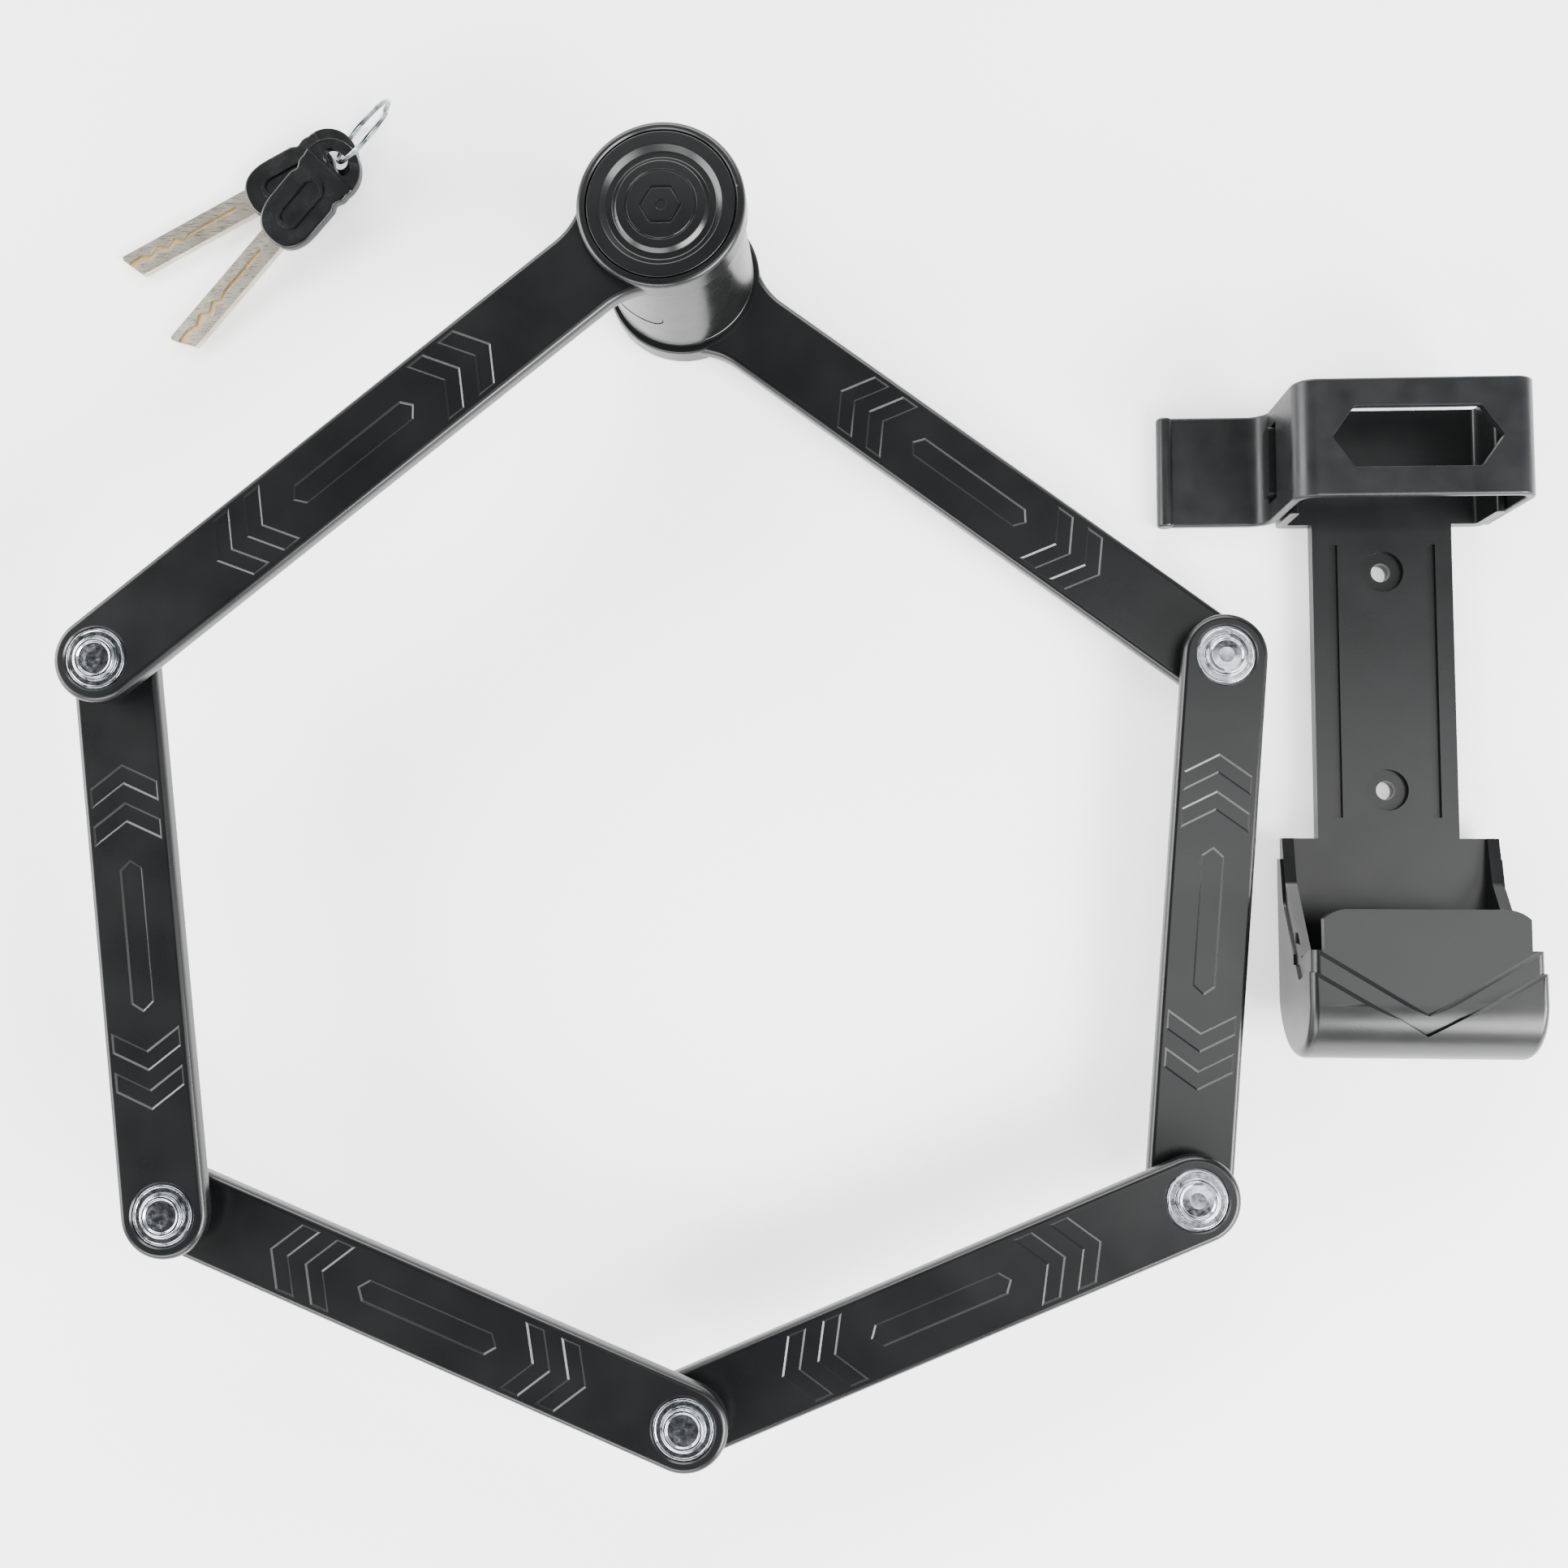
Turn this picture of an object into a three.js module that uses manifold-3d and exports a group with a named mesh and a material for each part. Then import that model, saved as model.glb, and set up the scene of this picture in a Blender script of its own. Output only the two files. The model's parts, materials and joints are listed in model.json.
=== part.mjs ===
// Folding bike lock: six jacketed steel links on five rivets, a lock barrel, a frame carrier and two keys.
// Millimetres, +Z up. The lock lies open on its barrel's rear end; the barrel's axis is vertical.
import * as THREE from 'three';
import { mergeVertices } from 'three/addons/utils/BufferGeometryUtils.js';
import Module from 'manifold-3d';

const wasm = await Module();
wasm.setup();

// ---- driving dimensions: links ----
const MID_PITCH = 152; // rivet to rivet on links 2 to 5
const END_PITCH = 197; // barrel axis to rivet on links 1 and 6
const BAR_WIDTH = 24;
const CORE_THICKNESS = 3.5;
const JACKET_FACE_WALL = 0.7;
const JACKET_SIDE_WALL = 1.2;
const LAYER_GAP = 4; // free height between two neighbouring jackets
const BAR_CHAMFER = 1.1;
const HEADINGS = { link6: -36.6, link5: 265.3, link4: 203.6, link3: 158.3 }; // degrees, from the barrel round

// ---- driving dimensions: rivets ----
const SHANK_RADIUS = 3.8;
const HEAD_RADIUS = 6.2;
const HEAD_FLAT_RADIUS = 4.5;
const HEAD_HEIGHT = 1.2;
const HEAD_BEVEL = 0.6;
const RIVET_WASHER_RADIUS = 8.2;
const RIVET_WASHER_THICKNESS = 0.5;
const JACKET_HOLE_RADIUS = 8.5;

// ---- driving dimensions: barrel and eyes ----
const COVER_RADIUS = 21.5;
const COVER_WALL = 1.7;
const EYE_OVERHANG = 1.7; // from the barrel out to the eyes' rims
const EYE_RIM = 2.8; // from the eyes' rims in to their caps
const EYE_FILLET = 20;
const BOSS_HEIGHT = 2.5; // the eyes stand this far proud of the bars
const CAP = { rim: 2.4, slope: 1.1, dish: 1.3, ridge: 2.5, edge: 0.4, groove: 1.8 }; // ring widths
const EMBLEM = { radius: 5.6, width: 1.4, height: 0.35 };
const GRIP = { crest: 1.8, valley: 1.8, slope: 0.8, depth: 0.4, countersink: 1.6 }; // rings round the keyhole
const SLEEVE_WALL = 3;
const FRONT_PLATE_THICKNESS = 3.8;
const SHELL_RADIUS = 12.5;
const SHELL_LENGTH = 28;
const SIDEBAR_RADIUS = 0.9;
const PLUG_RADIUS = 7;
const PLUG_LENGTH = 9.8;
const PLUG_HEIGHT = 1.2; // from the barrel's rear face in to the keyhole
const DISC_THICKNESS = 2.4;
const DISC_COUNT = 4;
const TAIL = { radius: 2.2, length: 3 };
const BOLT_RADIUS = 7;
const BOLT_TRAVEL = 5.2;
const BOLT_FLANGE = { width: 2.7, thickness: 1.5 };
const SPRING = { wire: 0.55, turns: 3 }; // wire radius
const SOCKET_WALL = 4.4;
const SOCKET_FLANGE = { width: 3.3, thickness: 1.2 };
const BADGE = { width: 20, height: 7, thickness: 0.6 };

// ---- driving dimensions: carrier ----
const CUP_WALL = 2.6;
const CUP_HEIGHT = 40;
const CUP_NOTCH_HEIGHT = 27;
const CUP_BACK_HEIGHT = 60;
const CARRIER_LENGTH = 186;
const SPINE_WIDTH = 40;
const SPINE_THICKNESS = 4;
const SADDLE_HEIGHT = 14;
const PAD = { thickness: 2, length: 26, inset: 3 };
const FRAME_HOLE_SPACING = 64;
const FRAME_HOLE_RADIUS = 2.75;
const STRAP_WIDTH = 34;
const STRAP_THICKNESS = 2.5;
const STRAP_CORNER = 6;
const STRAP_WINDOW = { width: 17, length: 46, point: 6 };
const LUG = { length: 20, height: 6, reach: 4.5, aboveSpine: 6 };
const TAB = { reach: 24, bend: 5, bead: 2.4 };

// ---- driving dimensions: keys ----
const BLADE = { width: 8.5, thickness: 2.2, exposed: 44, tang: 14 };
const BLADE_SLANT = 3.5;
const BLADE_GROOVE = { length: 20, width: 1.2, depth: 0.6, fromTip: 14 };
const BOW = { length: 38, width: 20, thickness: 3.4, lobeThickness: 2.4 };
const BOW_SLOT = { length: 10.5, width: 5, fromEnd: 5.7 };
const RING = { radius: 12, wire: 0.8, tilt: 50, back: 48, aside: 99.6 }; // beside link 1, from the barrel
// headings in degrees from link 1's
const RING_LOW_HEADING = 103.7;
const KEY_A = { heading: 168.4, holeZ: 4 };
const KEY_B = { heading: 187.4, holeZ: 10.2 };

// ---- clearances ----
const GAP = 0.3; // between assembled faces
const METAL_GAP = 0.15; // inside a rivet's pack
const RUNNING = 0.3; // round a turning or sliding piece
const STACK_CLEARANCE = 0.8; // between the folded lock and the carrier
const CARRIER_GAP = 6; // from the open lock to the carrier
const STRAP_AHEAD = 40; // the strap stays this far above link 6's outer end
const PRESS_GAP = 0.1; // round a trim piece in its seat
const HINGE_GAP = 0.35; // between the strap and its tongue

// ---- derived levels ----
const jacketThickness = CORE_THICKNESS + 2 * (GAP + JACKET_FACE_WALL);
const layerPitch = jacketThickness + LAYER_GAP;
const stackThickness = 5 * layerPitch + jacketThickness;
const layerZ = (link) => BOSS_HEIGHT + jacketThickness / 2 + (6 - link) * layerPitch;
const coreTop = CORE_THICKNESS / 2;
const cavityTop = coreTop + GAP;
const faceTop = jacketThickness / 2;
const bossTop = faceTop + BOSS_HEIGHT;
const eyeRadius = COVER_RADIUS + EYE_OVERHANG;
const capRadius = eyeRadius - EYE_RIM;
const degrees = Math.PI / 180;
const FINE = 36;
const MEDIUM = 24;
const SMALL = 16;
const CUT = 1; // how far a cutter runs past a face

// ---- where the six pivots lie ----
function step(from, heading, length) {
  const angle = heading * degrees;
  return new THREE.Vector2(from.x + length * Math.cos(angle), from.y + length * Math.sin(angle));
}

function meet(a, radiusA, b, radiusB) {
  const along = b.clone().sub(a);
  const distance = along.length();
  along.normalize();
  const reach = (radiusA ** 2 - radiusB ** 2 + distance ** 2) / (2 * distance);
  const side = Math.sqrt(radiusA ** 2 - reach ** 2);
  return new THREE.Vector2(
    a.x + along.x * reach + along.y * side,
    a.y + along.y * reach - along.x * side,
  );
}

const pivot5 = step(new THREE.Vector2(), HEADINGS.link6, END_PITCH);
const pivot4 = step(pivot5, HEADINGS.link5, MID_PITCH);
const pivot3 = step(pivot4, HEADINGS.link4, MID_PITCH);
const pivot2 = step(pivot3, HEADINGS.link3, MID_PITCH);
const pivot1 = meet(new THREE.Vector2(), END_PITCH, pivot2, MID_PITCH);
const pivots = [new THREE.Vector2(), pivot1, pivot2, pivot3, pivot4, pivot5];
const headingFrom = (a, b) => Math.atan2(b.y - a.y, b.x - a.x) / degrees;

// ---- materials ----
function finish(color, roughness, metalness) {
  return new THREE.MeshStandardMaterial({ color, roughness, metalness });
}

const satinBlack = finish(0x1d1d1e, 0.55, 0);
const glossBlack = finish(0x161617, 0.25, 0);
const strapBlack = finish(0x232324, 0.7, 0);
const hardenedSteel = finish(0x8d9196, 0.4, 1);
const zincPlate = finish(0xc9ccce, 0.25, 1);
const nickelSilver = finish(0xcfc8b4, 0.35, 1);
const brass = finish(0xb89a5a, 0.35, 1);

// ---- shape helpers ----
function solid(geometry) {
  const bare = geometry.index ? geometry.toNonIndexed() : geometry.clone();
  bare.deleteAttribute('normal');
  bare.deleteAttribute('uv');
  const merged = mergeVertices(bare, 1e-4);
  const mesh = new wasm.Mesh({
    numProp: 3,
    vertProperties: new Float32Array(merged.attributes.position.array),
    triVerts: new Uint32Array(merged.index.array),
  });
  return new wasm.Manifold(mesh);
}

function geometryOf(manifold) {
  const mesh = manifold.getMesh();
  const geometry = new THREE.BufferGeometry();
  geometry.setAttribute('position', new THREE.BufferAttribute(new Float32Array(mesh.vertProperties), 3));
  geometry.setIndex(new THREE.BufferAttribute(new Uint32Array(mesh.triVerts), 1));
  geometry.computeVertexNormals();
  return geometry;
}

function piece(name, manifold, material) {
  const mesh = new THREE.Mesh(geometryOf(manifold), material);
  mesh.name = name;
  return mesh;
}

// An outline in XY raised from z0 to z1, its edges cut back by a chamfer.
function plate(shape, z0, z1, chamfer = 0, curveSegments = 8) {
  const geometry = new THREE.ExtrudeGeometry(shape, {
    depth: z1 - z0 - 2 * chamfer,
    bevelEnabled: chamfer > 0,
    bevelThickness: chamfer,
    bevelSize: chamfer,
    bevelOffset: -chamfer,
    bevelSegments: 1,
    curveSegments,
  });
  geometry.translate(0, 0, z0 + chamfer);
  return solid(geometry);
}

// A solid of revolution about Z, from [radius, z] points: up the outside, down the inside.
function turned(points, segments = MEDIUM) {
  const profile = points.map(([radius, z]) => new THREE.Vector2(radius, z));
  const geometry = new THREE.LatheGeometry(profile, segments);
  geometry.rotateX(Math.PI / 2);
  return solid(geometry);
}

function rod(radius, z0, z1, segments = SMALL) {
  return turned([[0, z0], [radius, z0], [radius, z1], [0, z1]], segments);
}

function tube(outer, inner, z0, z1, segments = MEDIUM) {
  return turned([[outer, z0], [outer, z1], [inner, z1], [inner, z0], [outer, z0]], segments);
}

function block(x0, x1, y0, y1, z0, z1) {
  const geometry = new THREE.BoxGeometry(x1 - x0, y1 - y0, z1 - z0);
  geometry.translate((x0 + x1) / 2, (y0 + y1) / 2, (z0 + z1) / 2);
  return solid(geometry);
}

// ---- link outlines: along +X, from the rivet at the origin ----
function barOutline(length, half) {
  const shape = new THREE.Shape();
  shape.absarc(length, 0, half, -Math.PI / 2, Math.PI / 2, false);
  shape.absarc(0, 0, half, Math.PI / 2, 1.5 * Math.PI, false);
  return shape;
}

function eyeOutline(length, half, inset) {
  const eye = eyeRadius - inset;
  const fillet = EYE_FILLET + inset;
  const rise = half + fillet;
  const back = Math.sqrt((eye + fillet) ** 2 - rise ** 2);
  const turn = Math.atan2(rise, back);
  const shape = new THREE.Shape();
  shape.absarc(0, 0, half, Math.PI / 2, 1.5 * Math.PI, false);
  shape.absarc(length - back, -rise, fillet, Math.PI / 2, turn, true);
  shape.absarc(length, 0, eye, Math.PI + turn, 3 * Math.PI - turn, false);
  shape.absarc(length - back, rise, fillet, -turn, -Math.PI / 2, true);
  return shape;
}

// ---- links ----
const sideInset = JACKET_SIDE_WALL + GAP;

function barCore(length) {
  return plate(barOutline(length, BAR_WIDTH / 2 - sideInset), -coreTop, coreTop)
    .subtract(rod(SHANK_RADIUS + RUNNING, -coreTop - CUT, coreTop + CUT))
    .subtract(rod(SHANK_RADIUS + RUNNING, -coreTop - CUT, coreTop + CUT).translate([length, 0, 0]));
}

function barJacket(length) {
  const hole = rod(JACKET_HOLE_RADIUS, -faceTop - CUT, faceTop + CUT, MEDIUM);
  return plate(barOutline(length, BAR_WIDTH / 2), -faceTop, faceTop, BAR_CHAMFER)
    .subtract(plate(barOutline(length, BAR_WIDTH / 2 - JACKET_SIDE_WALL), -cavityTop, cavityTop))
    .subtract(hole)
    .subtract(hole.translate([length, 0, 0]));
}

function eyeCore(holeRadius) {
  return plate(eyeOutline(END_PITCH, BAR_WIDTH / 2 - sideInset, sideInset), -coreTop, coreTop)
    .subtract(rod(SHANK_RADIUS + RUNNING, -coreTop - CUT, coreTop + CUT))
    .subtract(rod(holeRadius, -coreTop - CUT, coreTop + CUT, MEDIUM).translate([END_PITCH, 0, 0]));
}

// The outer boss faces +Z here, and its mouth holds the cap; the hole on the inner side faces the barrel.
function eyeJacket(innerHoleRadius) {
  const wall = JACKET_SIDE_WALL;
  const boss = turned([
    [0, cavityTop + CUT / 2],
    [eyeRadius, cavityTop + CUT / 2],
    [eyeRadius, bossTop - BAR_CHAMFER],
    [eyeRadius - BAR_CHAMFER, bossTop],
    [0, bossTop],
  ], FINE);
  const mouth = rod(capRadius + GAP, cavityTop - CUT / 2, bossTop + CUT, FINE);
  const inner = rod(innerHoleRadius, -faceTop - CUT, 0, MEDIUM);
  return plate(eyeOutline(END_PITCH, BAR_WIDTH / 2, 0), -faceTop, faceTop, BAR_CHAMFER)
    .add(boss.translate([END_PITCH, 0, 0]))
    .subtract(plate(eyeOutline(END_PITCH, BAR_WIDTH / 2 - wall, wall), -cavityTop, cavityTop))
    .subtract(mouth.add(inner).translate([END_PITCH, 0, 0]))
    .subtract(rod(JACKET_HOLE_RADIUS, -faceTop - CUT, faceTop + CUT, MEDIUM));
}

function placedGroup(at, heading, z) {
  const group = new THREE.Group();
  group.position.set(at.x, at.y, z);
  group.rotation.z = heading * degrees;
  return group;
}

function midLink(link) {
  const start = pivots[link];
  const group = placedGroup(start, headingFrom(start, pivots[link - 1]), layerZ(link));
  group.add(piece(`link_${link}_core`, barCore(MID_PITCH), hardenedSteel));
  group.add(piece(`link_${link}_jacket`, barJacket(MID_PITCH), satinBlack));
  return group;
}

// ---- rivets ----
const washerBottom = coreTop + METAL_GAP;
const headBottom = washerBottom + RIVET_WASHER_THICKNESS + METAL_GAP;
const headTop = headBottom + HEAD_HEIGHT;

function rivet() {
  const upper = layerPitch;
  return turned([
    [0, -headTop], [HEAD_FLAT_RADIUS, -headTop], [HEAD_RADIUS, -headTop + HEAD_BEVEL],
    [HEAD_RADIUS, -headBottom], [SHANK_RADIUS, -headBottom],
    [SHANK_RADIUS, upper + headBottom], [HEAD_RADIUS, upper + headBottom],
    [HEAD_RADIUS, upper + headTop - HEAD_BEVEL], [HEAD_FLAT_RADIUS, upper + headTop], [0, upper + headTop],
  ], SMALL);
}

function rivetPack(joint) {
  const group = placedGroup(pivots[joint], 0, layerZ(joint + 1));
  const bore = SHANK_RADIUS + RUNNING;
  const washer = tube(RIVET_WASHER_RADIUS, bore, washerBottom, washerBottom + RIVET_WASHER_THICKNESS, SMALL);
  const spacer = tube(RIVET_WASHER_RADIUS, bore, washerBottom, layerPitch - washerBottom, SMALL);
  group.add(piece(`rivet_${joint}`, rivet(), zincPlate));
  group.add(piece(`spacer_${joint}`, spacer, hardenedSteel));
  group.add(piece(`washer_${joint}_upper`, washer.translate([0, 0, layerPitch]), zincPlate));
  group.add(piece(`washer_${joint}_lower`, washer.rotate([180, 0, 0]), zincPlate));
  return group;
}

// ---- barrel, on the axis of link 6's eye; z from the floor ----
const rearCoreTop = layerZ(6) + coreTop;
const coverBottom = layerZ(6) + faceTop + GAP;
const coverTop = layerZ(1) - faceTop - GAP;
const sleeveRadius = COVER_RADIUS - COVER_WALL - GAP;
const sleeveBore = sleeveRadius - SLEEVE_WALL;
const sleeveBottom = rearCoreTop + METAL_GAP;
const insideTop = coverTop - GAP;
const frontPlateTop = coverTop - 0.5;
const frontPlateBottom = frontPlateTop - FRONT_PLATE_THICKNESS;
const rearHole = PLUG_RADIUS + 1;
const rearCoverTop = BOSS_HEIGHT - PRESS_GAP;
const shellBottom = rearCoverTop + GAP;
const shellTop = shellBottom + SHELL_LENGTH;
const plugTop = PLUG_HEIGHT + PLUG_LENGTH;
const discPitch = DISC_THICKNESS + 0.4;
const discsBottom = plugTop + GAP;
const driverBottom = discsBottom + DISC_COUNT * discPitch;
const boltBottom = shellTop + TAIL.length + GAP;
const flangeTop = boltBottom + BOLT_FLANGE.thickness;
const flangeRadius = BOLT_RADIUS + BOLT_FLANGE.width;
const sidebarY = PLUG_RADIUS + RUNNING + SIDEBAR_RADIUS + 0.7; // clear of the discs, in the shell's groove

function keyway(z0, z1) {
  const half = BLADE.width / 2 + RUNNING;
  const slit = BLADE.thickness / 2 + RUNNING;
  return block(-half, half, -slit, slit, z0 - CUT, z1 + CUT);
}

// A countersunk keyhole, then crests and valleys out to the edge.
function rearCover() {
  const crestZ = PRESS_GAP * 2;
  const valleyZ = crestZ + GRIP.depth;
  const profile = [
    [capRadius, crestZ], [capRadius, rearCoverTop], [rearHole, rearCoverTop], [rearHole, PLUG_HEIGHT],
  ];
  let start = rearHole + GRIP.countersink;
  while (start + GRIP.crest + GRIP.valley + 2 * GRIP.slope < capRadius) {
    const dip = start + GRIP.crest + GRIP.slope;
    profile.push([start, crestZ], [start + GRIP.crest, crestZ], [dip, valleyZ], [dip + GRIP.valley, valleyZ]);
    start = dip + GRIP.valley + GRIP.slope;
  }
  profile.push([start, crestZ], [capRadius, crestZ]);
  return turned(profile, FINE);
}

function springCoil() {
  const bottom = flangeTop + GAP + SPRING.wire;
  const height = frontPlateBottom - GAP - SPRING.wire - bottom;
  const radius = (BOLT_RADIUS + flangeRadius) / 2;
  const stepsPerTurn = 12;
  const steps = SPRING.turns * stepsPerTurn;
  const points = [];
  for (let i = 0; i <= steps; i += 1) {
    const angle = (i / stepsPerTurn) * 2 * Math.PI;
    points.push(new THREE.Vector3(radius * Math.cos(angle), radius * Math.sin(angle), (height * i) / steps));
  }
  const section = new THREE.Shape();
  section.absarc(0, 0, SPRING.wire, 0, 2 * Math.PI, false);
  const geometry = new THREE.ExtrudeGeometry(section, {
    steps,
    extrudePath: new THREE.CatmullRomCurve3(points),
    curveSegments: 3,
  });
  geometry.translate(0, 0, bottom);
  return solid(geometry);
}

// The badge is a slice of the cover's wall, on the side away from both end links.
function barrelCase() {
  const middle = (coverBottom + coverTop) / 2;
  const turn = HEADINGS.link6 - 90;
  const seatRadius = COVER_RADIUS - BADGE.thickness;
  function slice(outer, inner, room) {
    const across = BADGE.width / 2 + room;
    const tall = BADGE.height / 2 + room;
    return tube(outer, inner, middle - tall, middle + tall, FINE)
      .intersect(block(0, outer, -across, across, middle - tall, middle + tall))
      .rotate([0, 0, turn]);
  }
  const badge = slice(COVER_RADIUS - PRESS_GAP, seatRadius, 0);
  const cover = tube(COVER_RADIUS, COVER_RADIUS - COVER_WALL, coverBottom, coverTop, FINE)
    .subtract(slice(COVER_RADIUS + CUT, seatRadius - 2 * PRESS_GAP, GAP));
  return [cover, badge];
}

function cylinderShell() {
  const slotRadius = SIDEBAR_RADIUS + GAP;
  const slotBottom = discsBottom - GAP;
  const groove = rod(slotRadius, slotBottom, driverBottom)
    .translate([0, sidebarY, 0])
    .add(block(-slotRadius, slotRadius, 0, sidebarY, slotBottom, driverBottom));
  return tube(SHELL_RADIUS, PLUG_RADIUS + RUNNING, shellBottom, shellTop).subtract(groove);
}

function boltDriver() {
  const tail = rod(TAIL.radius, shellTop - CUT, shellTop + TAIL.length, 12);
  return rod(PLUG_RADIUS - PRESS_GAP, driverBottom, shellTop)
    .add(tail.translate([PLUG_RADIUS - PRESS_GAP - TAIL.radius - 0.7, 0, 0]));
}

function lockingBolt() {
  const bevel = 0.8;
  return turned([
    [0, boltBottom], [flangeRadius, boltBottom], [flangeRadius, flangeTop], [BOLT_RADIUS, flangeTop],
    [BOLT_RADIUS, insideTop - bevel], [BOLT_RADIUS - bevel, insideTop], [0, insideTop],
  ]);
}

function lockBarrel() {
  const group = new THREE.Group();
  const [cover, badge] = barrelCase();
  group.add(piece('barrel_cover', cover, glossBlack));
  group.add(piece('badge_plate', badge, satinBlack));
  group.add(piece('barrel_sleeve', tube(sleeveRadius, sleeveBore, sleeveBottom, insideTop), hardenedSteel));
  const frontPlate = tube(sleeveBore - GAP, BOLT_RADIUS + RUNNING, frontPlateBottom, frontPlateTop);
  group.add(piece('front_plate', frontPlate, hardenedSteel));
  group.add(piece('rear_cover', rearCover(), satinBlack));
  group.add(piece('cylinder_shell', cylinderShell(), brass));
  const sidebar = rod(SIDEBAR_RADIUS, discsBottom, driverBottom - GAP, 12);
  group.add(piece('sidebar', sidebar.translate([0, sidebarY, 0]), hardenedSteel));

  const plug = rod(PLUG_RADIUS, PLUG_HEIGHT, plugTop, MEDIUM);
  group.add(piece('key_plug', plug.subtract(keyway(PLUG_HEIGHT, plugTop)), zincPlate));
  for (let disc = 0; disc < DISC_COUNT; disc += 1) {
    const z = discsBottom + disc * discPitch;
    const body = rod(PLUG_RADIUS - PRESS_GAP, z, z + DISC_THICKNESS);
    group.add(piece(`lock_disc_${disc + 1}`, body.subtract(keyway(z, z + DISC_THICKNESS)), brass));
  }
  group.add(piece('bolt_driver', boltDriver(), hardenedSteel));
  group.add(piece('locking_bolt', lockingBolt(), hardenedSteel));
  group.add(piece('bolt_spring', springCoil(), hardenedSteel));
  return group;
}

// ---- end links: 6 carries the barrel, 1 carries the socket and the front cap ----
function rearEndLink() {
  const group = placedGroup(pivots[5], HEADINGS.link6 + 180, layerZ(6));
  const jacket = eyeJacket(COVER_RADIUS - COVER_WALL).rotate([180, 0, 0]);
  group.add(piece('link_6_core', eyeCore(SHELL_RADIUS + GAP), hardenedSteel));
  group.add(piece('link_6_jacket', jacket, satinBlack));
  return group;
}

const socketBore = BOLT_RADIUS + RUNNING;
const socketRadius = socketBore + SOCKET_WALL;
const socketFlangeBottom = coreTop + METAL_GAP;
const socketTop = socketFlangeBottom + SOCKET_FLANGE.thickness;

// Its bore takes the bolt at full travel; z from link 1's middle, as in the cap.
function eyeSocket() {
  const mouth = -faceTop + PRESS_GAP;
  const roof = insideTop + BOLT_TRAVEL + GAP - layerZ(1);
  return turned([
    [0, roof], [socketBore, roof], [socketBore, mouth], [socketRadius, mouth],
    [socketRadius, socketFlangeBottom], [socketRadius + SOCKET_FLANGE.width, socketFlangeBottom],
    [socketRadius + SOCKET_FLANGE.width, socketTop], [0, socketTop],
  ]);
}

// Front cap: a rim, a dished ring, a ridge, a groove and a flat centre with a plain six-sided emblem.
function frontCap() {
  const bottom = socketTop + GAP;
  const top = bossTop - GAP;
  const deep = bottom + 0.7;
  const ridgeTop = top - 0.2;
  const centreTop = top - 0.6;
  const profile = [[0, bottom], [capRadius, bottom], [capRadius, top - GAP], [capRadius - CAP.edge, top]];
  let radius = capRadius;
  for (const [width, z] of [
    [CAP.rim, top], [CAP.slope, deep], [CAP.dish, deep], [CAP.slope, ridgeTop], [CAP.ridge, ridgeTop],
    [CAP.edge, deep], [CAP.groove, deep], [CAP.edge, centreTop],
  ]) {
    radius -= width;
    profile.push([radius, z]);
  }
  profile.push([0, centreTop]);
  const foot = centreTop - PRESS_GAP;
  const emblemTop = centreTop + EMBLEM.height;
  const emblem = rod(EMBLEM.radius, foot, emblemTop, 6)
    .subtract(rod(EMBLEM.radius - EMBLEM.width, foot - CUT, emblemTop + CUT, 6));
  return turned(profile, FINE).add(emblem);
}

function frontEndLink() {
  const group = placedGroup(pivots[1], headingFrom(pivots[1], pivots[0]), layerZ(1));
  group.add(piece('link_1_core', eyeCore(socketRadius + GAP), hardenedSteel));
  group.add(piece('link_1_jacket', eyeJacket(socketRadius + GAP), satinBlack));
  const eye = new THREE.Group();
  eye.position.x = END_PITCH;
  eye.add(piece('eye_socket', eyeSocket(), hardenedSteel));
  eye.add(piece('front_cap', frontCap(), satinBlack));
  group.add(eye);
  return group;
}

// ---- carrier: lies on its spine; +Y from the cup's end to the strap, X across the folded stack ----
const cupInner = stackThickness + 2 * STACK_CLEARANCE;
const cupOuter = cupInner + 2 * CUP_WALL;
const cupDepth = BAR_WIDTH + 2 * STACK_CLEARANCE;
const spineBottom = PAD.thickness + GAP;
const spineTop = spineBottom + SPINE_THICKNESS;
const cupRoof = spineTop + cupDepth;
const cupTop = cupRoof + CUP_WALL;
const roundInner = cupDepth / 2;
const roundOuter = roundInner + CUP_WALL;
const roundZ = spineTop + roundInner;
const strapBottom = CARRIER_LENGTH - STRAP_WIDTH;
const strapMiddle = strapBottom + STRAP_WIDTH / 2;
const holeMiddle = (CUP_BACK_HEIGHT + strapBottom) / 2;
const lugZ = spineTop + LUG.aboveSpine;

// Side outline in Y and Z, swept across X.
function sideways(shape, x0, x1, curveSegments = 10) {
  const geometry = new THREE.ExtrudeGeometry(shape, { depth: x1 - x0, bevelEnabled: false, curveSegments });
  geometry.applyMatrix4(new THREE.Matrix4().makeBasis(
    new THREE.Vector3(0, 1, 0), new THREE.Vector3(0, 0, 1), new THREE.Vector3(1, 0, 0),
  ));
  geometry.translate(x0, 0, 0);
  return solid(geometry);
}

function roundEnded(radius, endY) {
  const shape = new THREE.Shape();
  shape.moveTo(endY, roundZ - radius);
  shape.lineTo(endY, roundZ + radius);
  shape.lineTo(roundOuter, roundZ + radius);
  shape.absarc(roundOuter, roundZ, radius, Math.PI / 2, 1.5 * Math.PI, false);
  return shape;
}

function polygon(points) {
  return new THREE.Shape(points.map(([x, y]) => new THREE.Vector2(x, y)));
}

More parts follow.
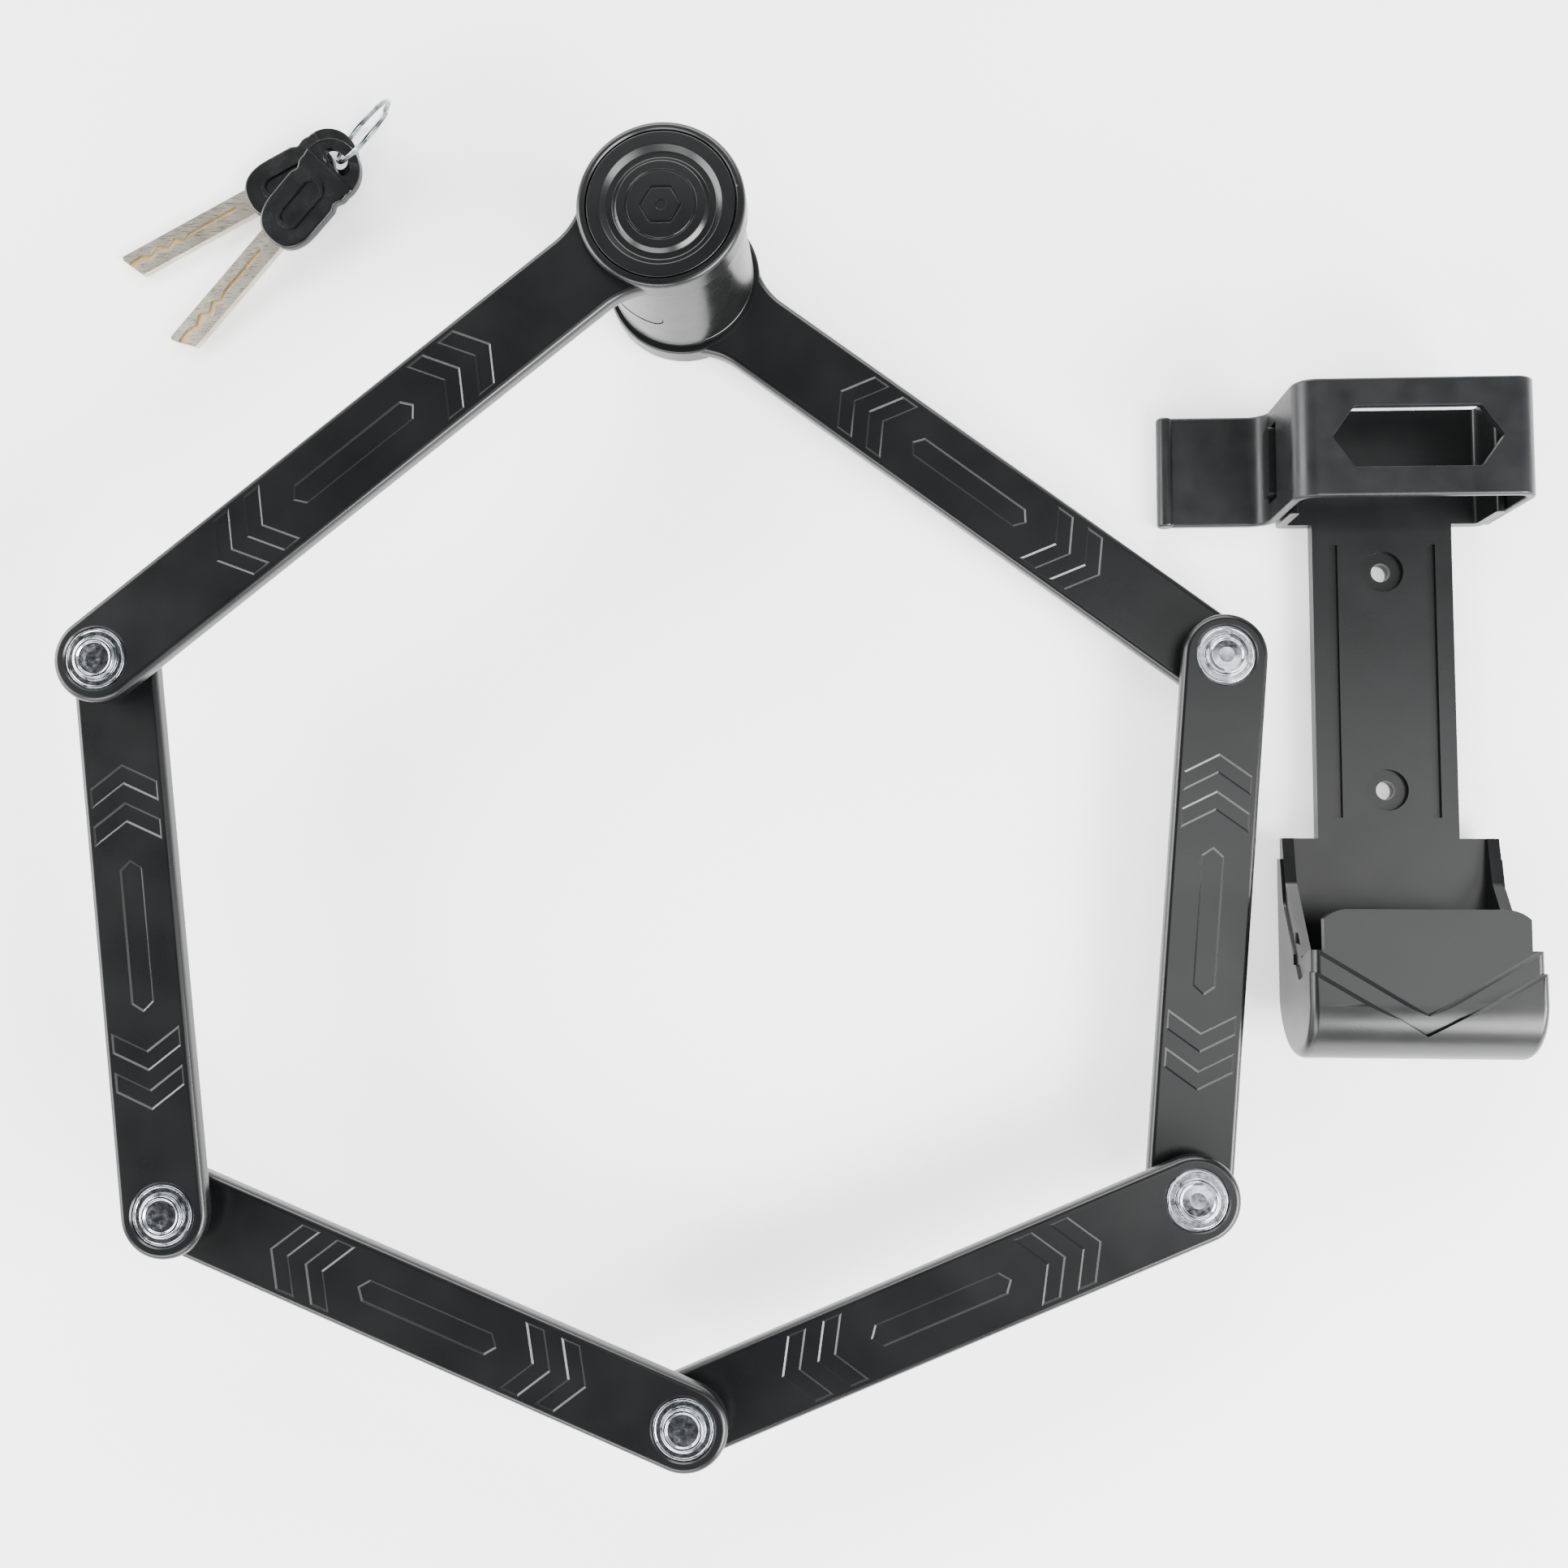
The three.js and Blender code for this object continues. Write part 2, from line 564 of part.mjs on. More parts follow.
// What the cup's side walls lose above their rim: high at the spine, lowest short of the front edge.
function rimCut() {
  const past = CUP_BACK_HEIGHT + CUT;
  return polygon([
    [CUP_BACK_HEIGHT, spineBottom - CUT], [CUP_BACK_HEIGHT, spineTop], [CUP_BACK_HEIGHT - 14, spineTop + 3],
    [CUP_NOTCH_HEIGHT, cupRoof - 7], [CUP_HEIGHT, cupRoof], [past, cupRoof], [past, spineBottom - CUT],
  ]);
}

function carrierBracket() {
  const half = cupOuter / 2;
  const inner = cupInner / 2;
  const cup = sideways(roundEnded(roundOuter, CUP_BACK_HEIGHT), -half, half)
    .subtract(sideways(roundEnded(roundInner, CUP_BACK_HEIGHT + CUT), -inner, inner))
    .subtract(block(-half - CUT, half + CUT, CUP_HEIGHT, CUP_BACK_HEIGHT + CUT, cupRoof - GAP, cupTop + CUT))
    .subtract(sideways(rimCut(), -half - CUT, -inner))
    .subtract(sideways(rimCut(), inner, half + CUT));
  const spine = block(-SPINE_WIDTH / 2, SPINE_WIDTH / 2, roundOuter, CARRIER_LENGTH, spineBottom, spineTop);
  const saddle = block(-half, half, strapBottom, CARRIER_LENGTH, spineBottom, spineTop + SADDLE_HEIGHT)
    .subtract(block(-inner, inner, strapBottom - CUT, CARRIER_LENGTH + CUT, spineTop, cupTop));
  const lug = block(-half - LUG.reach, -half + CUT, strapMiddle - LUG.length / 2, strapMiddle + LUG.length / 2,
    lugZ - LUG.height / 2, lugZ + LUG.height / 2);
  const hole = rod(FRAME_HOLE_RADIUS, spineBottom - CUT, spineTop + CUT);
  return cup.add(spine).add(saddle).add(lug)
    .subtract(hole.translate([0, holeMiddle - FRAME_HOLE_SPACING / 2, 0]))
    .subtract(hole.translate([0, holeMiddle + FRAME_HOLE_SPACING / 2, 0]));
}

function framePad(middleY) {
  const half = SPINE_WIDTH / 2 - PAD.inset;
  const hole = rod(FRAME_HOLE_RADIUS, -CUT, PAD.thickness + CUT).translate([0, middleY, 0]);
  return block(-half, half, middleY - PAD.length / 2, middleY + PAD.length / 2, 0, PAD.thickness)
    .subtract(hole);
}

const bandInner = cupOuter / 2 + GAP;
const bandOuter = bandInner + STRAP_THICKNESS;
const bandRoof = cupTop + GAP;
const bandTop = bandRoof + STRAP_THICKNESS;
const tongueMiddleX = (bandInner + bandOuter) / 2;
const tongueRadius = STRAP_THICKNESS / 2;
const tonguePivotZ = bandTop - STRAP_CORNER - tongueRadius - HINGE_GAP - 0.65;

// The strap's path in X and Z, seen from the cup: up the right side, over, and down to the left corner.
function bandOutline() {
  const shape = new THREE.Shape();
  const lowest = spineBottom;
  const end = tonguePivotZ + tongueRadius + HINGE_GAP;
  shape.moveTo(bandInner, lowest);
  shape.lineTo(bandOuter, lowest);
  shape.absarc(bandOuter - STRAP_CORNER, bandTop - STRAP_CORNER, STRAP_CORNER, 0, Math.PI / 2, false);
  shape.absarc(-bandOuter + STRAP_CORNER, bandTop - STRAP_CORNER, STRAP_CORNER, Math.PI / 2, Math.PI, false);
  shape.lineTo(-bandOuter, end);
  shape.lineTo(-bandInner, end);
  const inner = STRAP_CORNER - STRAP_THICKNESS;
  shape.absarc(-bandInner + inner, bandRoof - inner, inner, Math.PI, Math.PI / 2, true);
  shape.absarc(bandInner - inner, bandRoof - inner, inner, Math.PI / 2, 0, true);
  return shape;
}

// An outline in X and Z swept along Y.
function lengthways(shape, y0, y1, curveSegments = 6) {
  const geometry = new THREE.ExtrudeGeometry(shape, { depth: y1 - y0, bevelEnabled: false, curveSegments });
  geometry.applyMatrix4(new THREE.Matrix4().makeBasis(
    new THREE.Vector3(1, 0, 0), new THREE.Vector3(0, 0, 1), new THREE.Vector3(0, -1, 0),
  ));
  geometry.translate(0, y1, 0);
  return solid(geometry);
}

function strapBand() {
  const window = STRAP_WINDOW;
  const half = window.length / 2;
  const wide = window.width / 2;
  const arrow = polygon([
    [-half, 0], [-half + window.point, -wide], [half - window.point, -wide],
    [half, 0], [half - window.point, wide], [-half + window.point, wide],
  ]);
  return lengthways(bandOutline(), strapBottom, CARRIER_LENGTH)
    .subtract(plate(arrow, cupRoof, bandTop + CUT).translate([0, strapMiddle, 0]));
}

// Down the left side, over the lug, then out along the floor as a pull tab with a round bead.
function tongueOutline() {
  const shape = new THREE.Shape();
  const beadZ = TAB.bead + GAP;
  const floor = beadZ - STRAP_THICKNESS / 2;
  const bendX = -bandOuter - TAB.bend;
  const bendZ = floor + STRAP_THICKNESS + TAB.bend;
  const beadX = bendX - TAB.reach;
  const beadEdge = Math.asin(STRAP_THICKNESS / 2 / TAB.bead);
  shape.absarc(-tongueMiddleX, tonguePivotZ, tongueRadius, 0, Math.PI, false);
  shape.absarc(bendX, bendZ, TAB.bend, 0, -Math.PI / 2, true);
  shape.absarc(beadX, beadZ, TAB.bead, beadEdge, 2 * Math.PI - beadEdge, false);
  shape.absarc(bendX, bendZ, TAB.bend + STRAP_THICKNESS, -Math.PI / 2, 0, false);
  return shape;
}

function strapTongue() {
  const inset = 1;
  const room = 1;
  const across = LUG.length / 2 + room;
  const tall = LUG.height / 2 + room;
  return lengthways(tongueOutline(), strapBottom + inset, CARRIER_LENGTH - inset, 8)
    .subtract(block(-bandOuter - CUT, -bandInner + CUT, strapMiddle - across, strapMiddle + across,
      lugZ - tall, lugZ + tall));
}

const carrierAt = new THREE.Vector2(
  pivots[5].x + BAR_WIDTH / 2 + CARRIER_GAP + cupOuter / 2,
  pivots[5].y + STRAP_AHEAD - strapBottom,
);

function carrier() {
  const group = new THREE.Group();
  group.position.set(carrierAt.x, carrierAt.y, 0);
  group.add(piece('carrier_bracket', carrierBracket(), satinBlack));
  group.add(piece('frame_pad_lower', framePad(holeMiddle - FRAME_HOLE_SPACING / 2), strapBlack));
  group.add(piece('frame_pad_upper', framePad(holeMiddle + FRAME_HOLE_SPACING / 2), strapBlack));
  group.add(piece('strap_band', strapBand(), strapBlack));
  group.add(piece('strap_tongue', strapTongue(), strapBlack));
  return group;
}

// ---- keys: each lies from its slot on the ring, +X towards the tip, which touches the floor ----
const keysHeading = headingFrom(pivots[1], pivots[0]);
const ringCentreZ = RING.radius * Math.sin(RING.tilt * degrees) + RING.wire;
const ringCentre = step(step(pivots[0], keysHeading, -RING.back), keysHeading + 90, RING.aside);
const lowDirection = step(new THREE.Vector2(), keysHeading + RING_LOW_HEADING, 1);
const sideDirection = step(new THREE.Vector2(), keysHeading + RING_LOW_HEADING + 90, 1);

function ringPoint(z) {
  const cosine = (ringCentreZ - z) / (RING.radius * Math.sin(RING.tilt * degrees));
  const reach = RING.radius * cosine * Math.cos(RING.tilt * degrees);
  const side = RING.radius * Math.sqrt(1 - cosine ** 2);
  return new THREE.Vector3(
    ringCentre.x + lowDirection.x * reach + sideDirection.x * side,
    ringCentre.y + lowDirection.y * reach + sideDirection.y * side,
    z,
  );
}

function splitRing() {
  const geometry = new THREE.TorusGeometry(RING.radius, RING.wire, 6, 30);
  const mesh = piece('split_ring', solid(geometry), zincPlate);
  mesh.position.set(ringCentre.x, ringCentre.y, ringCentreZ);
  const hinge = new THREE.Vector3(sideDirection.x, sideDirection.y, 0);
  mesh.quaternion.setFromAxisAngle(hinge, RING.tilt * degrees);
  return mesh;
}

function bladeSolid() {
  const start = BOW.length - BOW_SLOT.fromEnd - BLADE.tang;
  const end = start + BLADE.tang + BLADE.exposed;
  const half = BLADE.width / 2;
  const thick = BLADE.thickness / 2;
  const outline = polygon([[start, -half], [end, -half], [end - BLADE_SLANT, half], [start, half]]);
  const { length, width, depth, fromTip } = BLADE_GROOVE;
  const grooveEnd = end - fromTip;
  const groove = block(grooveEnd - length, grooveEnd, -width / 2, width / 2, thick - depth, thick + CUT);
  return plate(outline, -thick, thick).subtract(groove);
}

// A rounded bow: broad in the middle, drawn in to the blade's neck and round the slot's lobe.
function bowSolid() {
  const near = -BOW_SLOT.fromEnd;
  const far = near + BOW.length;
  const half = BOW.width / 2;
  const neck = BLADE.width / 2 + 3;
  const shoulder = 12;
  const outline = new THREE.Shape();
  outline.moveTo(far, -neck);
  outline.lineTo(far, neck);
  outline.quadraticCurveTo(far - shoulder / 3, half, far - shoulder, half);
  outline.lineTo(near + shoulder, half);
  outline.quadraticCurveTo(near + 0.5, half, near, 0);
  outline.quadraticCurveTo(near + 0.5, -half, near + shoulder, -half);
  outline.lineTo(far - shoulder, -half);
  outline.quadraticCurveTo(far - shoulder / 3, -half, far, -neck);
  const thick = BOW.thickness / 2;
  const lobe = BOW.lobeThickness / 2;
  const slotHalf = BOW_SLOT.width / 2;
  const reach = BOW_SLOT.length / 2 - slotHalf;
  const slot = new THREE.Shape();
  slot.absarc(0, reach, slotHalf, 0, Math.PI, false);
  slot.absarc(0, -reach, slotHalf, Math.PI, 2 * Math.PI, false);
  const lobeEnd = slotHalf + 1.5;
  const tangRoom = BLADE.tang + 1;
  return plate(outline, -thick, thick, 0.5, 6)
    .subtract(block(near - CUT, lobeEnd, -half - CUT, half + CUT, lobe, thick + CUT))
    .subtract(block(near - CUT, lobeEnd, -half - CUT, half + CUT, -thick - CUT, -lobe))
    .subtract(plate(slot, -thick - CUT, thick + CUT, 0, 5))
    .subtract(block(far - tangRoom, far + CUT, -BLADE.width / 2 - GAP, BLADE.width / 2 + GAP,
      -BLADE.thickness / 2 - GAP, BLADE.thickness / 2 + GAP));
}

function key(letter, place) {
  const group = new THREE.Group();
  const reach = BOW.length - BOW_SLOT.fromEnd + BLADE.exposed;
  const tilt = Math.asin((place.holeZ - BLADE.thickness / 2 - GAP) / reach);
  group.position.copy(ringPoint(place.holeZ));
  group.rotation.set(0, tilt, (keysHeading + place.heading) * degrees, 'ZYX');
  group.add(piece(`key_${letter}_blade`, bladeSolid(), nickelSilver));
  group.add(piece(`key_${letter}_bow`, bowSolid(), satinBlack));
  return group;
}

// ---- the whole lock, centred over its bounding box and standing on z = 0 ----
const lock = new THREE.Group();
lock.add(rearEndLink(), lockBarrel(), frontEndLink());
for (const link of [5, 4, 3, 2]) lock.add(midLink(link));
for (const joint of [1, 2, 3, 4, 5]) lock.add(rivetPack(joint));
lock.add(carrier());
lock.add(splitRing(), key('a', KEY_A), key('b', KEY_B));

lock.updateMatrixWorld(true);
const box = new THREE.Box3().setFromObject(lock, true);
const centre = box.getCenter(new THREE.Vector3());
lock.position.set(-centre.x, -centre.y, -box.min.z);

// Joint centres and fold angles, for whoever poses the lock.
const folded = (link) => HEADINGS.link6 + (link % 2 === 1 ? 180 : 360);
const restHeading = (link) => headingFrom(pivots[link], pivots[link - 1]);
lock.userData = {
  shift: lock.position.toArray(),
  pivots: pivots.map((p) => p.toArray()),
  headings: [1, 2, 3, 4, 5].map(restHeading),
  folded: [1, 2, 3, 4, 5].map(folded),
  tongue: [carrierAt.x - tongueMiddleX, tonguePivotZ],
  carrier: carrierAt.toArray(),
  ring: ringCentre.toArray(),
  keys: [ringPoint(KEY_A.holeZ).toArray(), ringPoint(KEY_B.holeZ).toArray()],
};

export default lock;
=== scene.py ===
import json
import math
from math import cos, pi, radians, sin

import bmesh
import bpy
from mathutils import Matrix, Vector


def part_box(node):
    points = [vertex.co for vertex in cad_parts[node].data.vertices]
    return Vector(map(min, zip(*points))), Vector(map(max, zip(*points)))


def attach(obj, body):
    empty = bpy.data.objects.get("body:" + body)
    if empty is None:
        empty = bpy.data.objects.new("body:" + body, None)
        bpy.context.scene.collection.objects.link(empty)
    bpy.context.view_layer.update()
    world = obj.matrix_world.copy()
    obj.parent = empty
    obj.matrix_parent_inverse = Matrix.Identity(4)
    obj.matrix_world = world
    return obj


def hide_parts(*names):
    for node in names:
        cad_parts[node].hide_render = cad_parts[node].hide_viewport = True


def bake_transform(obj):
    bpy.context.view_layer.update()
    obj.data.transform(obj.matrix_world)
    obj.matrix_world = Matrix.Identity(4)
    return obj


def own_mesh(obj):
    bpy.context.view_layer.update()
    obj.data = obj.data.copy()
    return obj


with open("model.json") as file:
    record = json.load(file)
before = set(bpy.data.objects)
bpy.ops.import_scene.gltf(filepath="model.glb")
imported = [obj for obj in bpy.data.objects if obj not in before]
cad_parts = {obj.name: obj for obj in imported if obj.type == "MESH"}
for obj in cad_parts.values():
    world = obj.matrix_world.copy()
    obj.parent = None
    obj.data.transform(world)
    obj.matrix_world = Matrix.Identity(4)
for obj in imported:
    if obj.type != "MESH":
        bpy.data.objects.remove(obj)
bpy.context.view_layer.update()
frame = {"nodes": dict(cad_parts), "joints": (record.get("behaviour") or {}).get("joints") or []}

mm = 0.001
joints = {joint["name"]: joint for joint in frame["joints"]}
print("frame loaded:", len(frame["nodes"]), "nodes")


# Places taken from the frame, in millimetres.
def jointPlace(name):
    return Vector(joints[name]["pos_m"]) / mm


def nodeBox(name):
    low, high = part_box(name)
    return low / mm, high / mm


pivots = {0: jointPlace("key_turn"), 5: jointPlace("fold")}
for number in (1, 2, 3, 4):
    pivots[number] = jointPlace(f"fold_{number}")

bandLow, bandHigh = nodeBox("strap_band")
carrierPlace = Vector(((bandLow.x + bandHigh.x) / 2, nodeBox("carrier_bracket")[0].y, 0))
carrierMatrix = Matrix.Translation(carrierPlace)


def moved(x, y, z=0.0):
    return Matrix.Translation((x, y, z))


def spun(angle, axis):
    return Matrix.Rotation(angle, 4, axis)


def middleZ(link):
    low, high = nodeBox(f"link_{link}_core")
    return (low.z + high.z) / 2


def linkMatrix(link):
    start, end = (pivots[5], pivots[0]) if link == 6 else (pivots[link], pivots[link - 1])
    heading = math.atan2(end.y - start.y, end.x - start.x)
    return Matrix.Translation((start.x, start.y, middleZ(link))) @ spun(heading, "Z")


# sRGB hex to the linear colour that sockets take.
def linear(hexColour):
    values = [int(hexColour[i:i + 2], 16) / 255 for i in (1, 3, 5)]
    return tuple(v / 12.92 if v <= 0.04045 else ((v + 0.055) / 1.055) ** 2.4 for v in values) + (1.0,)


def addNode(tree, kind, inputs=None, **settings):
    node = tree.nodes.new(kind)
    for name, value in settings.items():
        setattr(node, name, value)
    for name, value in (inputs or {}).items():
        socket = node.inputs[name]
        value = value.outputs[0] if isinstance(value, bpy.types.Node) else value
        if isinstance(value, bpy.types.NodeSocket):
            tree.links.new(value, socket)
        else:
            socket.default_value = value
    return node


def emptyMaterial(name):
    material = bpy.data.materials.new(name)
    material.use_nodes = True
    tree = material.node_tree
    tree.nodes.clear()
    shader = addNode(tree, "ShaderNodeBsdfPrincipled")
    addNode(tree, "ShaderNodeOutputMaterial", {"Surface": shader.outputs["BSDF"]})
    place = addNode(tree, "ShaderNodeTexCoord").outputs["Object"]
    return material, tree, shader, place


def ramp(tree, factor, stops):
    node = addNode(tree, "ShaderNodeValToRGB", {"Fac": factor})
    elements = node.color_ramp.elements
    while len(elements) < len(stops):
        elements.new(0.5)
    for element, (position, colour) in zip(elements, stops):
        element.position = position
        element.color = colour
    return node.outputs["Color"]


def grey(value):
    return (value, value, value, 1.0)


# Noise whose features are about size millimetres across.
def noiseOf(tree, place, size, detail=2.0, stretch=(1, 1, 1), turn=0.0):
    mapped = addNode(tree, "ShaderNodeMapping", {
        "Vector": place, "Scale": stretch, "Rotation": (0, 0, turn)})
    noise = addNode(tree, "ShaderNodeTexNoise", {
        "Vector": mapped.outputs["Vector"], "Scale": 1 / (size * mm), "Detail": detail})
    return noise.outputs["Fac"]


def bumpFrom(tree, heights, below=None):
    normal = below
    for height, depth in heights:
        inputs = {"Height": height, "Strength": 1.0, "Distance": depth * mm}
        if normal is not None:
            inputs["Normal"] = normal
        normal = addNode(tree, "ShaderNodeBump", inputs).outputs["Normal"]
    return normal


# A moulded polymer: grain from the tool, slow shade drift, and rubbed patches that shine a little more.
def mouldedPolymer(name, look):
    material, tree, shader, place = emptyMaterial(name)
    drift = noiseOf(tree, place, look["driftSize"], 3.0)
    grain = noiseOf(tree, place, look["grainSize"], 3.0)
    rub = noiseOf(tree, place, look["rubSize"], 2.0)
    tree.links.new(ramp(tree, drift, [(0.3, linear(look["dark"])), (0.7, linear(look["light"]))]),
                   shader.inputs["Base Color"])
    low, high = look["roughness"]
    tree.links.new(ramp(tree, rub, [(0.2, grey(low)), (0.8, grey(high))]), shader.inputs["Roughness"])
    tree.links.new(bumpFrom(tree, [(grain, look["grainDepth"]), (drift, look["waveDepth"])]),
                   shader.inputs["Normal"])
    shader.inputs["IOR"].default_value = look["ior"]
    return material


# ABS from a fine spark-eroded tool: satin black with a slight sheen.
moulded = mouldedPolymer("absSatinMoulded", {
    "dark": "#08090a", "light": "#0b0c0d", "driftSize": 30, "grainSize": 0.35, "grainDepth": 0.006,
    "waveDepth": 0.03, "rubSize": 20, "roughness": (0.25, 0.33), "ior": 1.5})
# Polished ABS: the same black with a clear reflection and a faint orange peel.
polished = mouldedPolymer("absPolished", {
    "dark": "#070808", "light": "#0a0b0b", "driftSize": 25, "grainSize": 1.6, "grainDepth": 0.006,
    "waveDepth": 0.05, "rubSize": 9, "roughness": (0.22, 0.34), "ior": 1.53})
# Glass-filled nylon with a leather-like grain, duller than the ABS.
nylon = mouldedPolymer("nylonGrained", {
    "dark": "#08090a", "light": "#0c0d0e", "driftSize": 22, "grainSize": 0.7, "grainDepth": 0.012,
    "waveDepth": 0.03, "rubSize": 14, "roughness": (0.27, 0.35), "ior": 1.5})
# The same nylon from a coarsely etched tool: each grain of the key bows gives its own small glint.
bowNylon = mouldedPolymer("nylonCoarseGrain", {
    "dark": "#08090a", "light": "#0d0e0f", "driftSize": 12, "grainSize": 0.9, "grainDepth": 0.035,
    "waveDepth": 0.02, "rubSize": 6, "roughness": (0.22, 0.3), "ior": 1.5})
# Thermoplastic rubber, matt with pale scuffs and a bloom.
rubber = mouldedPolymer("tpeRubberMatt", {
    "dark": "#0b0c0d", "light": "#151618", "driftSize": 12, "grainSize": 0.5, "grainDepth": 0.012,
    "waveDepth": 0.06, "rubSize": 7, "roughness": (0.3, 0.44), "ior": 1.47})


# A bare or plated metal: fine lines along one way, and a cloudy roughness.
def metalFinish(name, look):
    material, tree, shader, place = emptyMaterial(name)
    stretch, turn = look.get("stretch", (1, 1, 1)), look.get("turn", 0.0)
    lines = noiseOf(tree, place, look["lineSize"], 3.0, stretch, turn)
    cloud = noiseOf(tree, place, look["cloudSize"], 4.0)
    tree.links.new(ramp(tree, cloud, [(0.3, linear(look["dark"])), (0.7, linear(look["light"]))]),
                   shader.inputs["Base Color"])
    low, high = look["roughness"]
    tree.links.new(ramp(tree, lines, [(0.3, grey(low)), (0.7, grey(high))]), shader.inputs["Roughness"])
    tree.links.new(bumpFrom(tree, [(lines, look["lineDepth"])]), shader.inputs["Normal"])
    shader.inputs["Metallic"].default_value = 1.0
    return material


# Bright zinc plate on turned steel: pale and mirror-like, with tiny waves left by the plating.
zinc = metalFinish("zincPlatedSteel", {
    "dark": "#9ba1a5", "light": "#cdd2d5", "lineSize": 1.3,
    "cloudSize": 1.8, "roughness": (0.12, 0.26), "lineDepth": 0.014})
# Spring steel under a thin plate: darker, so that the ring's coils stand out from each other.
springSteel = metalFinish("springSteelPlated", {
    "dark": "#6d7276", "light": "#969b9f", "lineSize": 0.8,
    "cloudSize": 1.5, "roughness": (0.12, 0.22), "lineDepth": 0.006})
# Case-hardened steel: darker, ground.
steel = metalFinish("hardenedSteelGround", {
    "dark": "#6f7478", "light": "#8e9397", "lineSize": 0.4, "stretch": (0.1, 1, 1),
    "cloudSize": 6, "roughness": (0.3, 0.45), "lineDepth": 0.008})
keyHeading = radians(37)
# Nickel silver, milled along the blade: warm pale metal.
nickelSilver = metalFinish("nickelSilverMilled", {
    "dark": "#b3ad9d", "light": "#cfcabc", "lineSize": 0.25, "stretch": (0.05, 1, 1), "turn": -keyHeading,
    "cloudSize": 5, "roughness": (0.24, 0.36), "lineDepth": 0.002})
# The floor of the milled track: coloured warmer and darker than the flat of the blade as painted shade in
# the groove, and rougher, so duller.
trackPaintedShade = metalFinish("nickelSilverPaintedGrooveShade", {
    "dark": "#a08c6c", "light": "#c4ae88", "lineSize": 0.4,
    "cloudSize": 1.5, "roughness": (0.34, 0.5), "lineDepth": 0.02})
# Brass, turned.
brassMetal = metalFinish("brassTurned", {
    "dark": "#a5854a", "light": "#c7a663", "lineSize": 0.3, "stretch": (1, 1, 0.2),
    "cloudSize": 4, "roughness": (0.25, 0.4), "lineDepth": 0.006})
print("materials made")


# Everything is drawn in millimetres and placed by a matrix.
def meshObject(name, vertices, faces, matrix=None):
    mesh = bpy.data.meshes.new(name)
    mesh.from_pydata([Vector(v) for v in vertices], [], faces)
    if matrix is not None:
        mesh.transform(matrix)
    mesh.transform(Matrix.Scale(mm, 4))
    made = bpy.data.objects.new(name, mesh)
    bpy.context.scene.collection.objects.link(made)
    return made


def fixNormals(target):
    shape = bmesh.new()
    shape.from_mesh(target.data)
    bmesh.ops.remove_doubles(shape, verts=shape.verts, dist=1e-7)
    bmesh.ops.recalc_face_normals(shape, faces=shape.faces)
    shape.to_mesh(target.data)
    shape.free()


def ringStack(rings):
    count = len(rings[0])
    vertices = [v for ring in rings for v in ring]
    faces = [list(range(count))[::-1]]
    for level in range(len(rings) - 1):
        base = level * count
        for i in range(count):
            j = (i + 1) % count
            faces.append([base + i, base + j, base + count + j, base + count + i])
    faces.append([(len(rings) - 1) * count + i for i in range(count)])
    return vertices, faces


def solid(name, rings, matrix=None):
    made = meshObject(name, *ringStack(rings), matrix)
    fixNormals(made)
    return made


# outline(inset) gives an anticlockwise loop; the edges top and bottom are rounded by edge millimetres.
def slab(name, outline, low, high, edge, matrix, steps=5):
    rings = []
    for i in range(steps + 1):
        angle = pi / 2 * i / steps
        inset = edge * (1 - sin(angle))
        rings.append([(x, y, low + edge * (1 - cos(angle))) for x, y in outline(inset)])
    for i in range(steps + 1):
        angle = pi / 2 * i / steps
        inset = edge * (1 - cos(angle))
        rings.append([(x, y, high - edge * (1 - sin(angle))) for x, y in outline(inset)])
    return solid(name, rings, matrix)


def prism(name, points, low, high, matrix):
    return solid(name, [[(x, y, z) for x, y in points] for z in (low, high)], matrix)


def arcPoints(x, y, radius, start, end, steps):
    return [(x + radius * cos(start + (end - start) * i / steps),
             y + radius * sin(start + (end - start) * i / steps)) for i in range(steps + 1)]


# Rounds each corner of a line of (x, y, radius) points; closed joins the ends.
def softened(points, closed=False, steps=5):
    result = []
    count = len(points)
    for i, (x, y, radius) in enumerate(points):
        if radius <= 0 or (not closed and i in (0, count - 1)):
            result.append((x, y))
            continue
        here = Vector((x, y))
        back = Vector(points[i - 1][:2]) - here
        ahead = Vector(points[(i + 1) % count][:2]) - here
        half = back.angle(ahead) / 2
        cut = min(radius / math.tan(half), 0.49 * back.length, 0.49 * ahead.length)
        reach = cut / cos(half)
        centre = here + (back.normalized() + ahead.normalized()).normalized() * reach
        start = here + back.normalized() * cut - centre
        end = here + ahead.normalized() * cut - centre
        turn = start.angle_signed(end)
        for step in range(steps + 1):
            arm = Matrix.Rotation(-turn * step / steps, 2) @ start
            result.append((centre.x + arm.x, centre.y + arm.y))
    return result


def roundedBox(halfX, halfY, radius, steps=5):
    corners = [(-halfX, -halfY), (halfX, -halfY), (halfX, halfY), (-halfX, halfY)]
    return softened([(x, y, radius) for x, y in corners], True, steps)


